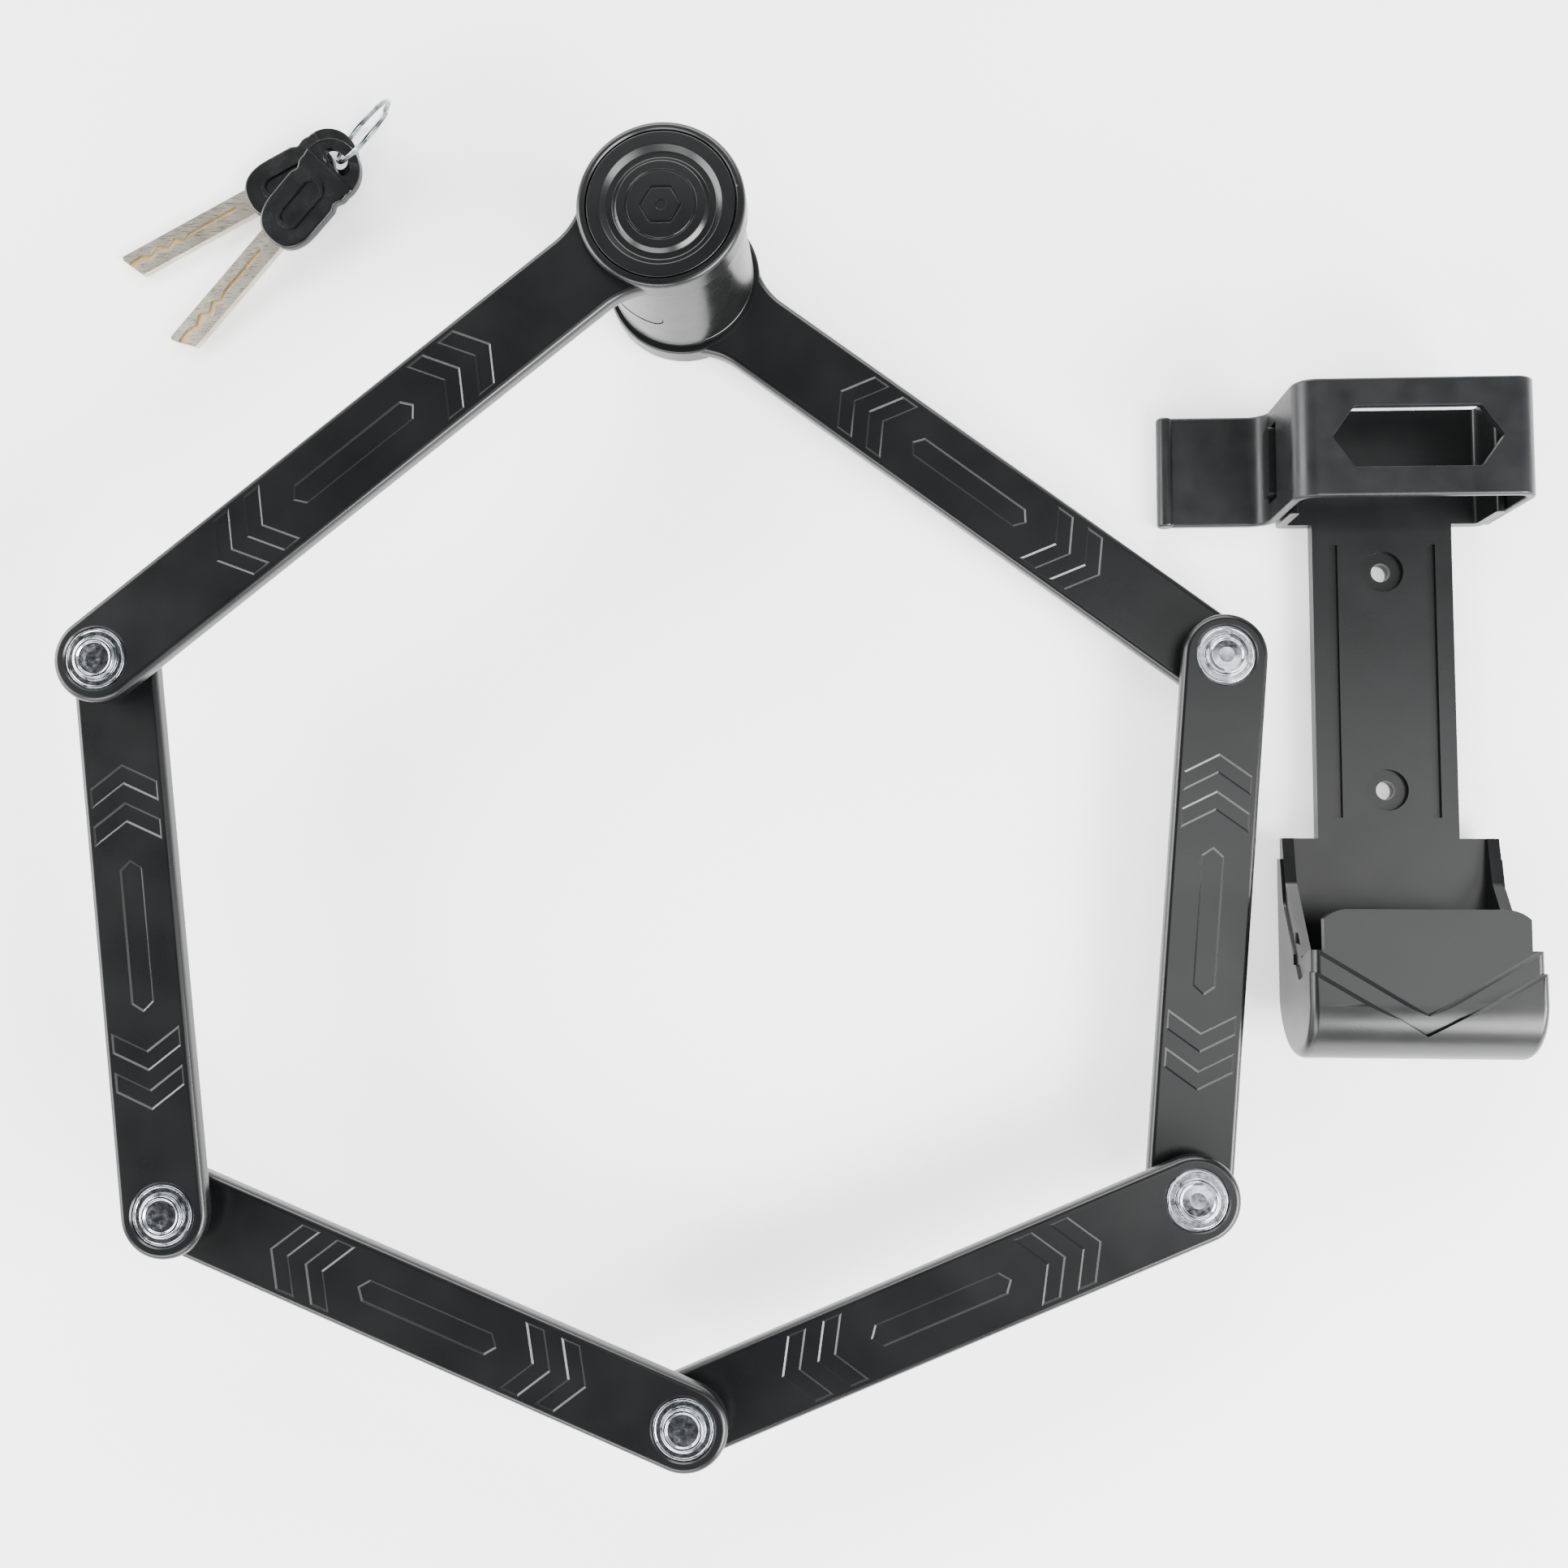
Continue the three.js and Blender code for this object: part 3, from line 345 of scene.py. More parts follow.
# A solid of revolution about Z from (radius, z) points, up the outside; closed loops make rings.
def turned(name, profile, matrix, segments=96, closed=False):
    shape = bmesh.new()
    rows = []
    for radius, z in profile:
        if radius < 1e-6:
            rows.append([shape.verts.new((0, 0, z))])
        else:
            rows.append([shape.verts.new((radius * cos(2 * pi * i / segments),
                                          radius * sin(2 * pi * i / segments), z))
                         for i in range(segments)])
    pairs = list(zip(rows, rows[1:])) + ([(rows[-1], rows[0])] if closed else [])
    for lower, upper in pairs:
        for i in range(segments):
            j = (i + 1) % segments
            corners = [lower[i % len(lower)], lower[j % len(lower)],
                       upper[j % len(upper)], upper[i % len(upper)]]
            unique = [v for n, v in enumerate(corners) if v not in corners[:n]]
            if len(unique) > 2:
                shape.faces.new(unique)
    bmesh.ops.recalc_face_normals(shape, faces=shape.faces)
    mesh = bpy.data.meshes.new(name)
    shape.to_mesh(mesh)
    shape.free()
    mesh.transform(matrix)
    mesh.transform(Matrix.Scale(mm, 4))
    made = bpy.data.objects.new(name, mesh)
    bpy.context.scene.collection.objects.link(made)
    return made


def rodCutter(radius, low, high, matrix, segments=64):
    return turned("cutter", [(0, low), (radius, low), (radius, high), (0, high)], matrix, segments)


def blockCutter(low, high, matrix):
    points = [(low[0], low[1]), (high[0], low[1]), (high[0], high[1]), (low[0], high[1])]
    return prism("cutter", points, low[2], high[2], matrix)


def bakeModifiers(target):
    graph = bpy.context.evaluated_depsgraph_get()
    graph.update()
    baked = bpy.data.meshes.new_from_object(target.evaluated_get(graph))
    old = target.data
    target.modifiers.clear()
    target.data = baked
    bpy.data.meshes.remove(old)


def combine(target, others, operation="DIFFERENCE"):
    for other in others:
        modifier = target.modifiers.new("cut", "BOOLEAN")
        modifier.operation = operation
        modifier.solver = "EXACT"
        modifier.object = other
    bakeModifiers(target)
    for other in others:
        bpy.data.objects.remove(other)


# Welds slivers left by the cuts and joins faces that lie in one plane, so that bevels have room.
def cleanFaces(target):
    shape = bmesh.new()
    shape.from_mesh(target.data)
    bmesh.ops.remove_doubles(shape, verts=shape.verts, dist=0.02 * mm)
    bmesh.ops.dissolve_degenerate(shape, edges=shape.edges, dist=0.01 * mm)
    bmesh.ops.dissolve_limit(shape, angle_limit=radians(0.5), verts=shape.verts, edges=shape.edges)
    shape.to_mesh(target.data)
    shape.free()


def softenEdges(target, width, segments=2, angle=32):
    cleanFaces(target)
    modifier = target.modifiers.new("soft", "BEVEL")
    modifier.width = width * mm
    modifier.segments = segments
    modifier.limit_method = "ANGLE"
    modifier.angle_limit = radians(angle)
    modifier.use_clamp_overlap = True
    bakeModifiers(target)


# Smooth shading that keeps flat faces flat, because each face counts by its area.
def shadeEven(target, material, sharp):
    mesh = target.data
    mesh.materials.clear()
    mesh.materials.append(material)
    mesh.polygons.foreach_set("use_smooth", [True] * len(mesh.polygons))
    mesh.polygons.foreach_set("material_index", [0] * len(mesh.polygons))
    mesh.set_sharp_from_angle(angle=radians(sharp))
    modifier = target.modifiers.new("even", "WEIGHTED_NORMAL")
    modifier.mode = "FACE_AREA"
    modifier.weight = 100
    modifier.keep_sharp = True
    bakeModifiers(target)


def finishPiece(target, body, material, nodes=(), sharp=30):
    shadeEven(target, material, sharp)
    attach(target, body)
    if nodes:
        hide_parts(*nodes)
    return target


# Geometry node trees, each with named inputs for its sizes.
def newTree(name, inputs):
    tree = bpy.data.node_groups.new(name, "GeometryNodeTree")
    tree.interface.new_socket("Geometry", in_out="INPUT", socket_type="NodeSocketGeometry")
    tree.interface.new_socket("Geometry", in_out="OUTPUT", socket_type="NodeSocketGeometry")
    for label, kind in inputs.items():
        tree.interface.new_socket(label, in_out="INPUT", socket_type=kind)
    return tree, tree.nodes.new("NodeGroupInput").outputs


def endTree(tree, geometry, material):
    real = addNode(tree, "GeometryNodeRealizeInstances", {"Geometry": geometry})
    painted = addNode(tree, "GeometryNodeSetMaterial", {
        "Geometry": real, "Material": material})
    tree.links.new(painted.outputs[0], tree.nodes.new("NodeGroupOutput").inputs[0])


def runTree(name, tree, values):
    made = meshObject(name, [], [])
    modifier = made.modifiers.new("nodes", "NODES")
    modifier.node_group = tree
    for item in tree.interface.items_tree:
        if item.in_out == "INPUT" and item.name in values:
            modifier[item.identifier] = values[item.name]
    bakeModifiers(made)
    fixNormals(made)
    return made


# A round wire wound on a cylinder: for the spring and the split ring.
def coilTree(material):
    tree, given = newTree("woundWire", {
        "Turns": "NodeSocketFloat", "Radius": "NodeSocketFloat", "Rise": "NodeSocketFloat",
        "Wire": "NodeSocketFloat", "Steps": "NodeSocketInt"})
    spiral = addNode(tree, "GeometryNodeCurveSpiral", {
        "Resolution": given["Steps"], "Rotations": given["Turns"], "Start Radius": given["Radius"],
        "End Radius": given["Radius"], "Height": given["Rise"]})
    wire = addNode(tree, "GeometryNodeCurvePrimitiveCircle", {"Resolution": 12, "Radius": given["Wire"]})
    swept = addNode(tree, "GeometryNodeCurveToMesh", {
        "Curve": spiral, "Profile Curve": wire, "Fill Caps": True})
    endTree(tree, swept.outputs[0], material)
    return tree


# Stamps repeated down a line from a first place, and again the other way round.
def stampTree(material):
    tree, given = newTree("stampRow", {
        "Stamp": "NodeSocketObject", "Plate": "NodeSocketObject", "Count": "NodeSocketInt",
        "First": "NodeSocketFloat", "Pitch": "NodeSocketFloat"})
    back = addNode(tree, "ShaderNodeMath", {0: given["Pitch"], 1: -1.0}, operation="MULTIPLY")
    start = addNode(tree, "ShaderNodeCombineXYZ", {"X": given["First"]})
    pitch = addNode(tree, "ShaderNodeCombineXYZ", {"X": back})
    line = addNode(tree, "GeometryNodeMeshLine", {
        "Count": given["Count"], "Start Location": start, "Offset": pitch})
    stamp = addNode(tree, "GeometryNodeObjectInfo", {"Object": given["Stamp"]})
    plate = addNode(tree, "GeometryNodeObjectInfo", {"Object": given["Plate"]})
    row = addNode(tree, "GeometryNodeInstanceOnPoints", {
        "Points": line, "Instance": stamp.outputs["Geometry"]})
    other = addNode(tree, "GeometryNodeTransform", {
        "Geometry": row, "Rotation": (0, 0, pi)})
    face = addNode(tree, "GeometryNodeJoinGeometry")
    for part in (row.outputs[0], other.outputs[0], plate.outputs["Geometry"]):
        tree.links.new(part, face.inputs[0])
    under = addNode(tree, "GeometryNodeTransform", {
        "Geometry": face, "Rotation": (pi, 0, 0)})
    both = addNode(tree, "GeometryNodeJoinGeometry")
    tree.links.new(face.outputs[0], both.inputs[0])
    tree.links.new(under.outputs[0], both.inputs[0])
    endTree(tree, both.outputs[0], material)
    return tree


# A flat strap drawn along a path: the section is width by thickness with rounded edges.
def strapTree(material):
    tree, given = newTree("sweptStrap", {"Path": "NodeSocketObject", "Section": "NodeSocketObject"})
    path = addNode(tree, "GeometryNodeObjectInfo", {"Object": given["Path"]})
    section = addNode(tree, "GeometryNodeObjectInfo", {"Object": given["Section"]})
    swept = addNode(tree, "GeometryNodeCurveToMesh", {
        "Curve": path.outputs["Geometry"], "Profile Curve": section.outputs["Geometry"],
        "Fill Caps": True})
    endTree(tree, swept.outputs[0], material)
    return tree


coils = coilTree(zinc)
stamps = stampTree(moulded)
straps = strapTree(rubber)
print("node trees made")

# The boss stands proud on an end link's eye; cavityHalf is half the room for the core.
linkSize = {
    "halfWidth": 12, "halfThickness": 2.75, "edge": 1.7, "sideWall": 1.2, "cavityHalf": 2.05,
    "eyeRadius": 23.2, "eyeFillet": 20, "eyeBar": 22.8, "bossTop": 5.25, "bossBore": 10, "mouth": 20.7,
    "bolt": 12, "barrel": 19.8, "holeRadius": 8.5, "holeLip": 0.5,
}
pattern = {
    "plateLength": 42, "plateWidth": 6.4, "tip": 47.6, "pitch": 10.6, "band": 5.6, "perSide": 2,
    "halfWidth": 9.6, "sweep": 5.8, "depth": 0.32, "slope": 0.52, "fromRivet": 90,
}


def barOutline(length):
    def outline(inset):
        half = linkSize["halfWidth"] - inset
        return (arcPoints(length, 0, half, -pi / 2, pi / 2, 32)
                + arcPoints(0, 0, half, pi / 2, 1.5 * pi, 32))
    return outline


def eyeOutline(length, radius):
    def outline(inset):
        half = linkSize["halfWidth"] - inset
        eye = radius - inset
        fillet = linkSize["eyeFillet"] + inset
        rise = half + fillet
        back = math.sqrt((eye + fillet) ** 2 - rise ** 2)
        turn = math.atan2(rise, back)
        return (arcPoints(0, 0, half, pi / 2, 1.5 * pi, 32)
                + arcPoints(length - back, -rise, fillet, pi / 2, turn, 16)
                + arcPoints(length, 0, eye, pi + turn, 3 * pi - turn, 72)[1:-1]
                + arcPoints(length - back, rise, fillet, -turn, -pi / 2, 16))
    return outline


# Moves every side of an anticlockwise loop inwards by distance.
def insetLoop(points, distance):
    result = []
    for i, point in enumerate(points):
        here = Vector(point)
        before = (here - Vector(points[i - 1])).normalized()
        after = (Vector(points[(i + 1) % len(points)]) - here).normalized()
        bisector = (before.orthogonal() + after.orthogonal()).normalized()
        reach = distance / bisector.dot(before.orthogonal())
        result.append(tuple(here + bisector * reach))
    return result


def insetRings(points, levels):
    return [[(x, y, z) for x, y in insetLoop(points, inset)] for z, inset in levels]


# A recess cutter whose walls slope, so that they catch the low lights.
def slopedCutter(name, points):
    face, deep, run = linkSize["halfThickness"], pattern["depth"], pattern["slope"]
    above = 0.6
    levels = ((face - deep, run), (face, 0), (face + above, -run * above / deep))
    return solid(name, insetRings(points, levels))


def patternCutter(matrix):
    wide, sweep, band = pattern["halfWidth"], pattern["sweep"], pattern["band"]
    chevron = slopedCutter("chevron", [(0, 0), (-sweep, wide), (-sweep - band, wide),
                                       (-band, 0), (-sweep - band, -wide), (-sweep, -wide)])
    long, tall = pattern["plateLength"] / 2, pattern["plateWidth"] / 2
    point = tall * 0.8
    plate = slopedCutter("plate", [(-long, 0), (-long + point, -tall), (long - point, -tall),
                                   (long, 0), (long - point, tall), (-long + point, tall)])
    made = runTree("cutter", stamps, {
        "Stamp": chevron, "Plate": plate, "Count": pattern["perSide"],
        "First": pattern["tip"] * mm, "Pitch": pattern["pitch"] * mm})
    bpy.data.objects.remove(chevron)
    bpy.data.objects.remove(plate)
    scaled = Matrix.Scale(mm, 4) @ matrix @ Matrix.Scale(1 / mm, 4)
    made.data.transform(scaled)
    return made


def rivetHole(place):
    radius, lip, face = linkSize["holeRadius"], linkSize["holeLip"], linkSize["halfThickness"]
    outer, past = radius + lip + 1, face + 1
    profile = softened([(0, -past, 0), (outer, -past, 0), (radius, lip - face, 0.4),
                        (radius, face - lip, 0.4), (outer, past, 0), (0, past, 0)])
    return turned("cutter", profile, place, 64)


def linkJacket(link):
    size = linkSize
    matrix = linkMatrix(link)
    face, room, side = size["halfThickness"], size["cavityHalf"], size["sideWall"]
    start, end = (pivots[5], pivots[0]) if link == 6 else (pivots[link], pivots[link - 1])
    length = math.hypot(*(end - start).xy)
    isEnd = link in (1, 6)
    outside = eyeOutline(length, size["eyeBar"]) if isEnd else barOutline(length)
    inside = eyeOutline(length, size["eyeRadius"]) if isEnd else barOutline(length)
    jacket = slab(f"jacket{link}", outside, -face, face, size["edge"], matrix)
    centre = pattern["fromRivet"] if isEnd else length / 2
    combine(jacket, [patternCutter(matrix @ moved(centre, 0))])
    cavity = slab("cutter", lambda inset: inside(inset + side), -room, room, 0.4, matrix, 2)
    far = matrix @ moved(length, 0)
    if isEnd:
        eye = far @ (spun(pi, "X") if link == 6 else Matrix())
        radius, top, bore, bottom = size["eyeRadius"], size["bossTop"], size["bossBore"], -face - 0.05
        boss = [(bore, bottom, 0), (radius, bottom, 0.8), (radius, top, 1.5), (bore, top, 0)]
        combine(jacket, [turned("boss", softened(boss, True, 8), eye, 144, True)], "UNION")
        wide, past = size["mouth"], top + 1
        mouth = [(0, 1.8, 0), (wide, 1.8, 0), (wide, top - 0.4, 0.3), (wide + 1.3, past, 0), (0, past, 0)]
        # turned a little, so that its corners miss those of the eye
        inner = rodCutter(size["bolt"] if link == 1 else size["barrel"], -face - 1, 2.6,
                          eye @ spun(0.02, "Z"))
        cuts = [cavity, turned("cutter", softened(mouth), eye, 144), inner, rivetHole(matrix)]
    else:
        cuts = [cavity, rivetHole(matrix), rivetHole(far)]
    combine(jacket, cuts)
    body = "lock_body" if link == 6 else f"link_{link}"
    finishPiece(jacket, body, moulded, [f"link_{link}_jacket"], 25)


for link in (6, 5, 4, 3, 2, 1):
    linkJacket(link)
print("link jackets made")

# pitch is from one link to the next; heights are from the middle of a link
rivetSize = {
    "shank": 3.8, "head": 6.2, "headLow": 2.55, "headHigh": 3.75, "pitch": 9.5,
    "washer": 8.2, "washerBore": 4.1, "washerLow": 1.9, "washerHigh": 2.4,
}


def rivetSet(number):
    size = rivetSize
    lower = middleZ(number + 1)
    place = moved(pivots[number].x, pivots[number].y, lower)
    top = size["pitch"]
    low, high = top + size["headLow"], top + size["headHigh"]
    # a rounded ring round a sunk, gently crowned centre
    half = softened([(size["shank"], top / 2, 0), (size["shank"], low, 0), (size["head"], low, 0.1),
                     (size["head"], high - 0.75, 0.15), (5.75, high - 0.7, 0.1), (5.35, high, 0.35),
                     (4.75, high, 0.3), (4.3, high - 0.55, 0.25), (2.2, high - 0.42, 1.5),
                     (0, high - 0.5, 0)], steps=4)
    profile = [(r, top - z) for r, z in reversed(half)] + half[1:]
    upper = f"link_{number}"
    below = "lock_body" if number == 5 else f"link_{number + 1}"
    rivet = turned(f"rivet{number}", profile, place, 64)
    finishPiece(rivet, upper, zinc, [f"rivet_{number}"], 40)
    low, high, outer, bore = (size[k] for k in ("washerLow", "washerHigh", "washer", "washerBore"))
    rim, flat = high + 0.15, high - 0.05
    ring = softened([(outer, low, 0.1), (outer, rim, 0.2), (outer - 0.5, rim, 0.15),
                     (outer - 0.75, flat, 0.15), (bore, flat, 0.1), (bore, low, 0.1)], True, 3)
    for name, body, turn in ((f"washer_{number}_upper", upper, moved(0, 0, top)),
                             (f"washer_{number}_lower", below, spun(pi, "X"))):
        washer = turned(name + "_plated", ring, place @ turn, 64, True)
        finishPiece(washer, body, zinc, [name], 40)
    spacerRing = softened([(outer, low, 0.3), (outer, top - low, 0.3),
                           (bore, top - low, 0.1), (bore, low, 0.1)], True, 3)
    spacer = turned(f"spacer{number}", spacerRing, place, 64, True)
    finishPiece(spacer, below, steel, [f"spacer_{number}"], 40)


for number in (1, 2, 3, 4, 5):
    rivetSet(number)
print("rivets made")

axis = moved(pivots[0].x, pivots[0].y)
coverLow, coverHigh = (corner.z for corner in nodeBox("barrel_cover"))
barrelSize = {
    "radius": 21.5, "bore": 19.8, "seam": 2.6, "seamDepth": 0.35, "edge": 0.7,
    "badgeHalf": 10, "badgeTall": 3.5, "badgeGap": 0.3, "badgeInner": 20.9, "badgeOuter": 21.35,
}


def barrelCover():
    size = barrelSize
    radius, seam, deep = size["radius"], size["seam"], size["seamDepth"]
    outside = [(size["bore"], coverLow, 0), (radius, coverLow, size["edge"]),
               (radius, coverLow + seam, 0.15), (radius - deep, coverLow + seam + 0.25, 0.1),
               (radius, coverLow + seam + 0.5, 0.15),
               (radius, coverHigh - seam - 0.5, 0.15), (radius - deep, coverHigh - seam - 0.25, 0.1),
               (radius, coverHigh - seam, 0.15), (radius, coverHigh, size["edge"]),
               (size["bore"], coverHigh, 0)]
    cover = turned("barrelCase", softened(outside), axis, 160, True)
    low, high = nodeBox("badge_plate")
    badgeZ = (low.z + high.z) / 2
    toBadge = (low + high) / 2 - pivots[0]
    turn = math.atan2(toBadge.y, toBadge.x)
    badgePlace = axis @ moved(0, 0, badgeZ) @ spun(turn, "Z")

    def badgeShape(name, grow, near, far):
        tall = size["badgeTall"] + grow
        place = badgePlace @ spun(pi / 2, "Y") @ spun(pi / 2, "Z")
        return prism(name, roundedBox(size["badgeHalf"] + grow, tall, tall, 8), near, far, place)

    combine(cover, [badgeShape("cutter", size["badgeGap"], 17, 25)])
    softenEdges(cover, 0.12)
    finishPiece(cover, "lock_body", polished, ["barrel_cover"])
    inner, outer = size["badgeInner"], size["badgeOuter"]
    badge = turned("badgePlain", [(inner, badgeZ - 5), (outer, badgeZ - 5), (outer, badgeZ + 5),
                                  (inner, badgeZ + 5)], axis, 160, True)
    combine(badge, [badgeShape("cutter", 0, 15, 25)], "INTERSECT")
    softenEdges(badge, 0.1)
    finishPiece(badge, "lock_body", moulded, ["badge_plate"])


barrelCover()

# rim, dished ring, ridge, groove and flat centre, as (radius, height from link 1's middle, rounding)
capProfile = [(0, 3.2, 0), (20.4, 3.2, 0.1), (20.4, 4.95, 0.35), (16.8, 4.95, 0.5), (15.1, 3.65, 0.6),
              (13.4, 3.65, 0.5), (12.2, 4.7, 0.5), (9.9, 4.7, 0.12), (9.75, 4.4, 0.08), (9.45, 4.4, 0.08),
              (9.3, 4.62, 0.12), (0, 4.62, 0)]
emblem = {"radius": 6, "corner": 1.2, "inner": 0.86, "floor": 4.3, "dot": 1.5}


def frontCap():
    place = moved(pivots[0].x, pivots[0].y, middleZ(1))
    cap = turned("frontCap", softened(capProfile, steps=6), place, 144)
    turns = [pi / 3 * i for i in range(6)]
    reach, corner = emblem["radius"], emblem["corner"]
    hexagon = [(reach * cos(t), reach * sin(t), corner) for t in turns]
    inside = [(x * emblem["inner"], y * emblem["inner"], r) for x, y, r in hexagon]
    outer = prism("cutter", softened(hexagon, True), emblem["floor"], 6, place)
    island = prism("island", softened(inside, True), 4.0, 6.5, place)
    combine(outer, [island])
    dot = rodCutter(emblem["dot"], emblem["floor"], 6, place, 48)
    combine(cap, [outer, dot])
    softenEdges(cap, 0.1)
    finishPiece(cap, "link_1", moulded, ["front_cap"])


frontCap()

# the keyhole cover, as (radius, height above the floor, rounding)
rearProfile = [(20.4, 0.25, 0.3), (20.4, 2.4, 0), (8, 2.4, 0), (8, 1.5, 0.1), (10.2, 0.25, 0.3),
               (12, 0.25, 0.3), (12.5, 0.85, 0.3), (14.2, 0.85, 0.3), (14.7, 0.25, 0.3),
               (16.6, 0.25, 0.3), (17.1, 0.85, 0.3), (18.4, 0.85, 0.3), (18.9, 0.25, 0.3)]
plugSize = {"radius": 7, "keywayHalf": 4.55, "keywayTall": 1.4}


def keyholeCover():
    cover = turned("keyholeCover", softened(rearProfile, True), axis, 144, True)
    finishPiece(cover, "lock_body", moulded, ["rear_cover"])
    low, high = (corner.z for corner in nodeBox("key_plug"))
    radius, wide, tall = plugSize["radius"], plugSize["keywayHalf"], plugSize["keywayTall"]
    face = softened([(0, low, 0), (radius, low, 0.5), (radius, high, 0.2), (0, high, 0)])
    plug = turned("keyPlugFace", face, axis, 96)
    combine(plug, [blockCutter((-wide, -tall, low - 1), (wide, tall, high + 1), axis)])
    softenEdges(plug, 0.15)
    finishPiece(plug, "key_cylinder", zinc, ["key_plug"])


keyholeCover()


# the return spring round the bolt; squashed is the share left when the bolt is drawn
springSize = {"turns": 3.0, "wire": 0.6, "steps": 32, "squashed": 0.42}


def boltSpring():
    wire = springSize["wire"]
    low, high = nodeBox("bolt_spring")
    spring = runTree("boltSpringCoil", coils, {
        "Turns": springSize["turns"], "Radius": ((high.x - low.x) / 2 - wire) * mm,
        "Rise": (high.z - low.z - 2 * wire) * mm, "Wire": wire * mm, "Steps": springSize["steps"]})
    spring.data.transform(Matrix.Translation(Vector((pivots[0].x, pivots[0].y, low.z + wire)) * mm))
    finishPiece(spring, "lock_body", steel, ["bolt_spring"], 60)
    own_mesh(spring)


boltSpring()
hidden = ["barrel_sleeve", "front_plate", "sidebar", "bolt_driver", "locking_bolt", "eye_socket"]
for name in hidden + [f"link_{link}_core" for link in range(1, 7)]:
    frame["nodes"][name].data.materials[0] = steel
for name in ["cylinder_shell"] + [f"lock_disc_{disc}" for disc in range(1, 5)]:
    frame["nodes"][name].data.materials[0] = brassMetal
print("barrel made")

# Y runs along the spine from the foot of the cup, and Z up from the floor.
carrierSize = {
    "wall": 2.6, "inner": 54.6, "depth": 25.6, "spineLow": 2.3, "spineTop": 6.3, "spineHalf": 20,
    "cupHeight": 40, "notch": 26, "frontRim": 29, "back": 60, "length": 186, "strapWidth": 34,
    "saddle": 14, "cornerRadius": 9, "edge": 2.2, "holeSpacing": 64, "holeRadius": 2.75,
    "counterbore": 6, "counterDepth": 1.6, "lugAbove": 6, "grooveFrom": 14, "grooveHalf": 1.2,
}
# each step of the skirt: lift, height in the middle, height at the ends, and how far below the rim
skirtSteps = ((0.7, 10.4, 30, 0.02), (1.4, 4.5, 24, 6))
skirtStep, skirtRun = 0.7, 1.2


# Side outline: (along Y, up Z) drawn in XY, then stood across X.
sideways = Matrix(((0, 0, 1, 0), (1, 0, 0, 0), (0, 1, 0, 0), (0, 0, 0, 1)))
size = carrierSize
cupHalf = size["inner"] / 2 + size["wall"]
innerRound = size["depth"] / 2
outerRound = innerRound + size["wall"]
roundZ = size["spineTop"] + innerRound
cupRoof = size["spineTop"] + size["depth"]
cupTop = cupRoof + size["wall"]
strapLow = size["length"] - size["strapWidth"]
strapMiddle = size["length"] - size["strapWidth"] / 2
lugZ = size["spineTop"] + size["lugAbove"]


def roundEnded(radius, endY):
    def outline(inset):
        r = radius - inset
        return ([(endY, roundZ - r), (endY, roundZ + r)]
                + arcPoints(outerRound, roundZ, r, pi / 2, 1.5 * pi, 40))
    return outline


# What stands open above the side walls' notched rim; drop lowers the rim.
def cupRimCutter(low, high, drop=0.0):
    past, under = size["back"] + 2, size["spineLow"] - 3
    front, back = size["frontRim"] - drop, size["back"] - drop
    points = [(back, under, 0), (back, size["spineTop"] + 1, 0), (back - 13, size["spineTop"] + 3.5, 6),
              (size["notch"] - drop, cupRoof - 8, 1.5), (front, cupRoof + 0.3, 0),
              (front, cupTop + 6, 0), (past, cupTop + 6, 0), (past, under, 0)]
    return prism("cutter", softened(points, True)[::-1], low, high, carrierMatrix @ sideways)


# The cup's outside again, grown a little and cut off along the V with a sloping ledge.
def cupSkirt(lift, middle, ends, drop):
    wide = cupHalf + lift
    skirt = slab("cupSkirt", lambda inset: roundEnded(outerRound + lift, size["back"])(inset)[::-1],
                 -wide, wide, size["edge"], carrierMatrix @ sideways, 6)
    over = [(0, middle), (wide + 2, ends), (wide + 2, 90), (-wide - 2, 90), (-wide - 2, ends)]
    rings = insetRings(over, ((roundZ, skirtRun), (cupTop + lift - skirtStep, skirtRun),
                              (cupTop + lift, 0), (cupTop + 6, 0)))
    cuts = [solid("cutter", rings, carrierMatrix),
            cupRimCutter(-wide - 2, wide + 2, drop),
            blockCutter((-wide - 2, -40, -5), (wide + 2, 90, size["spineLow"]), carrierMatrix)]
    combine(skirt, cuts)
    return skirt


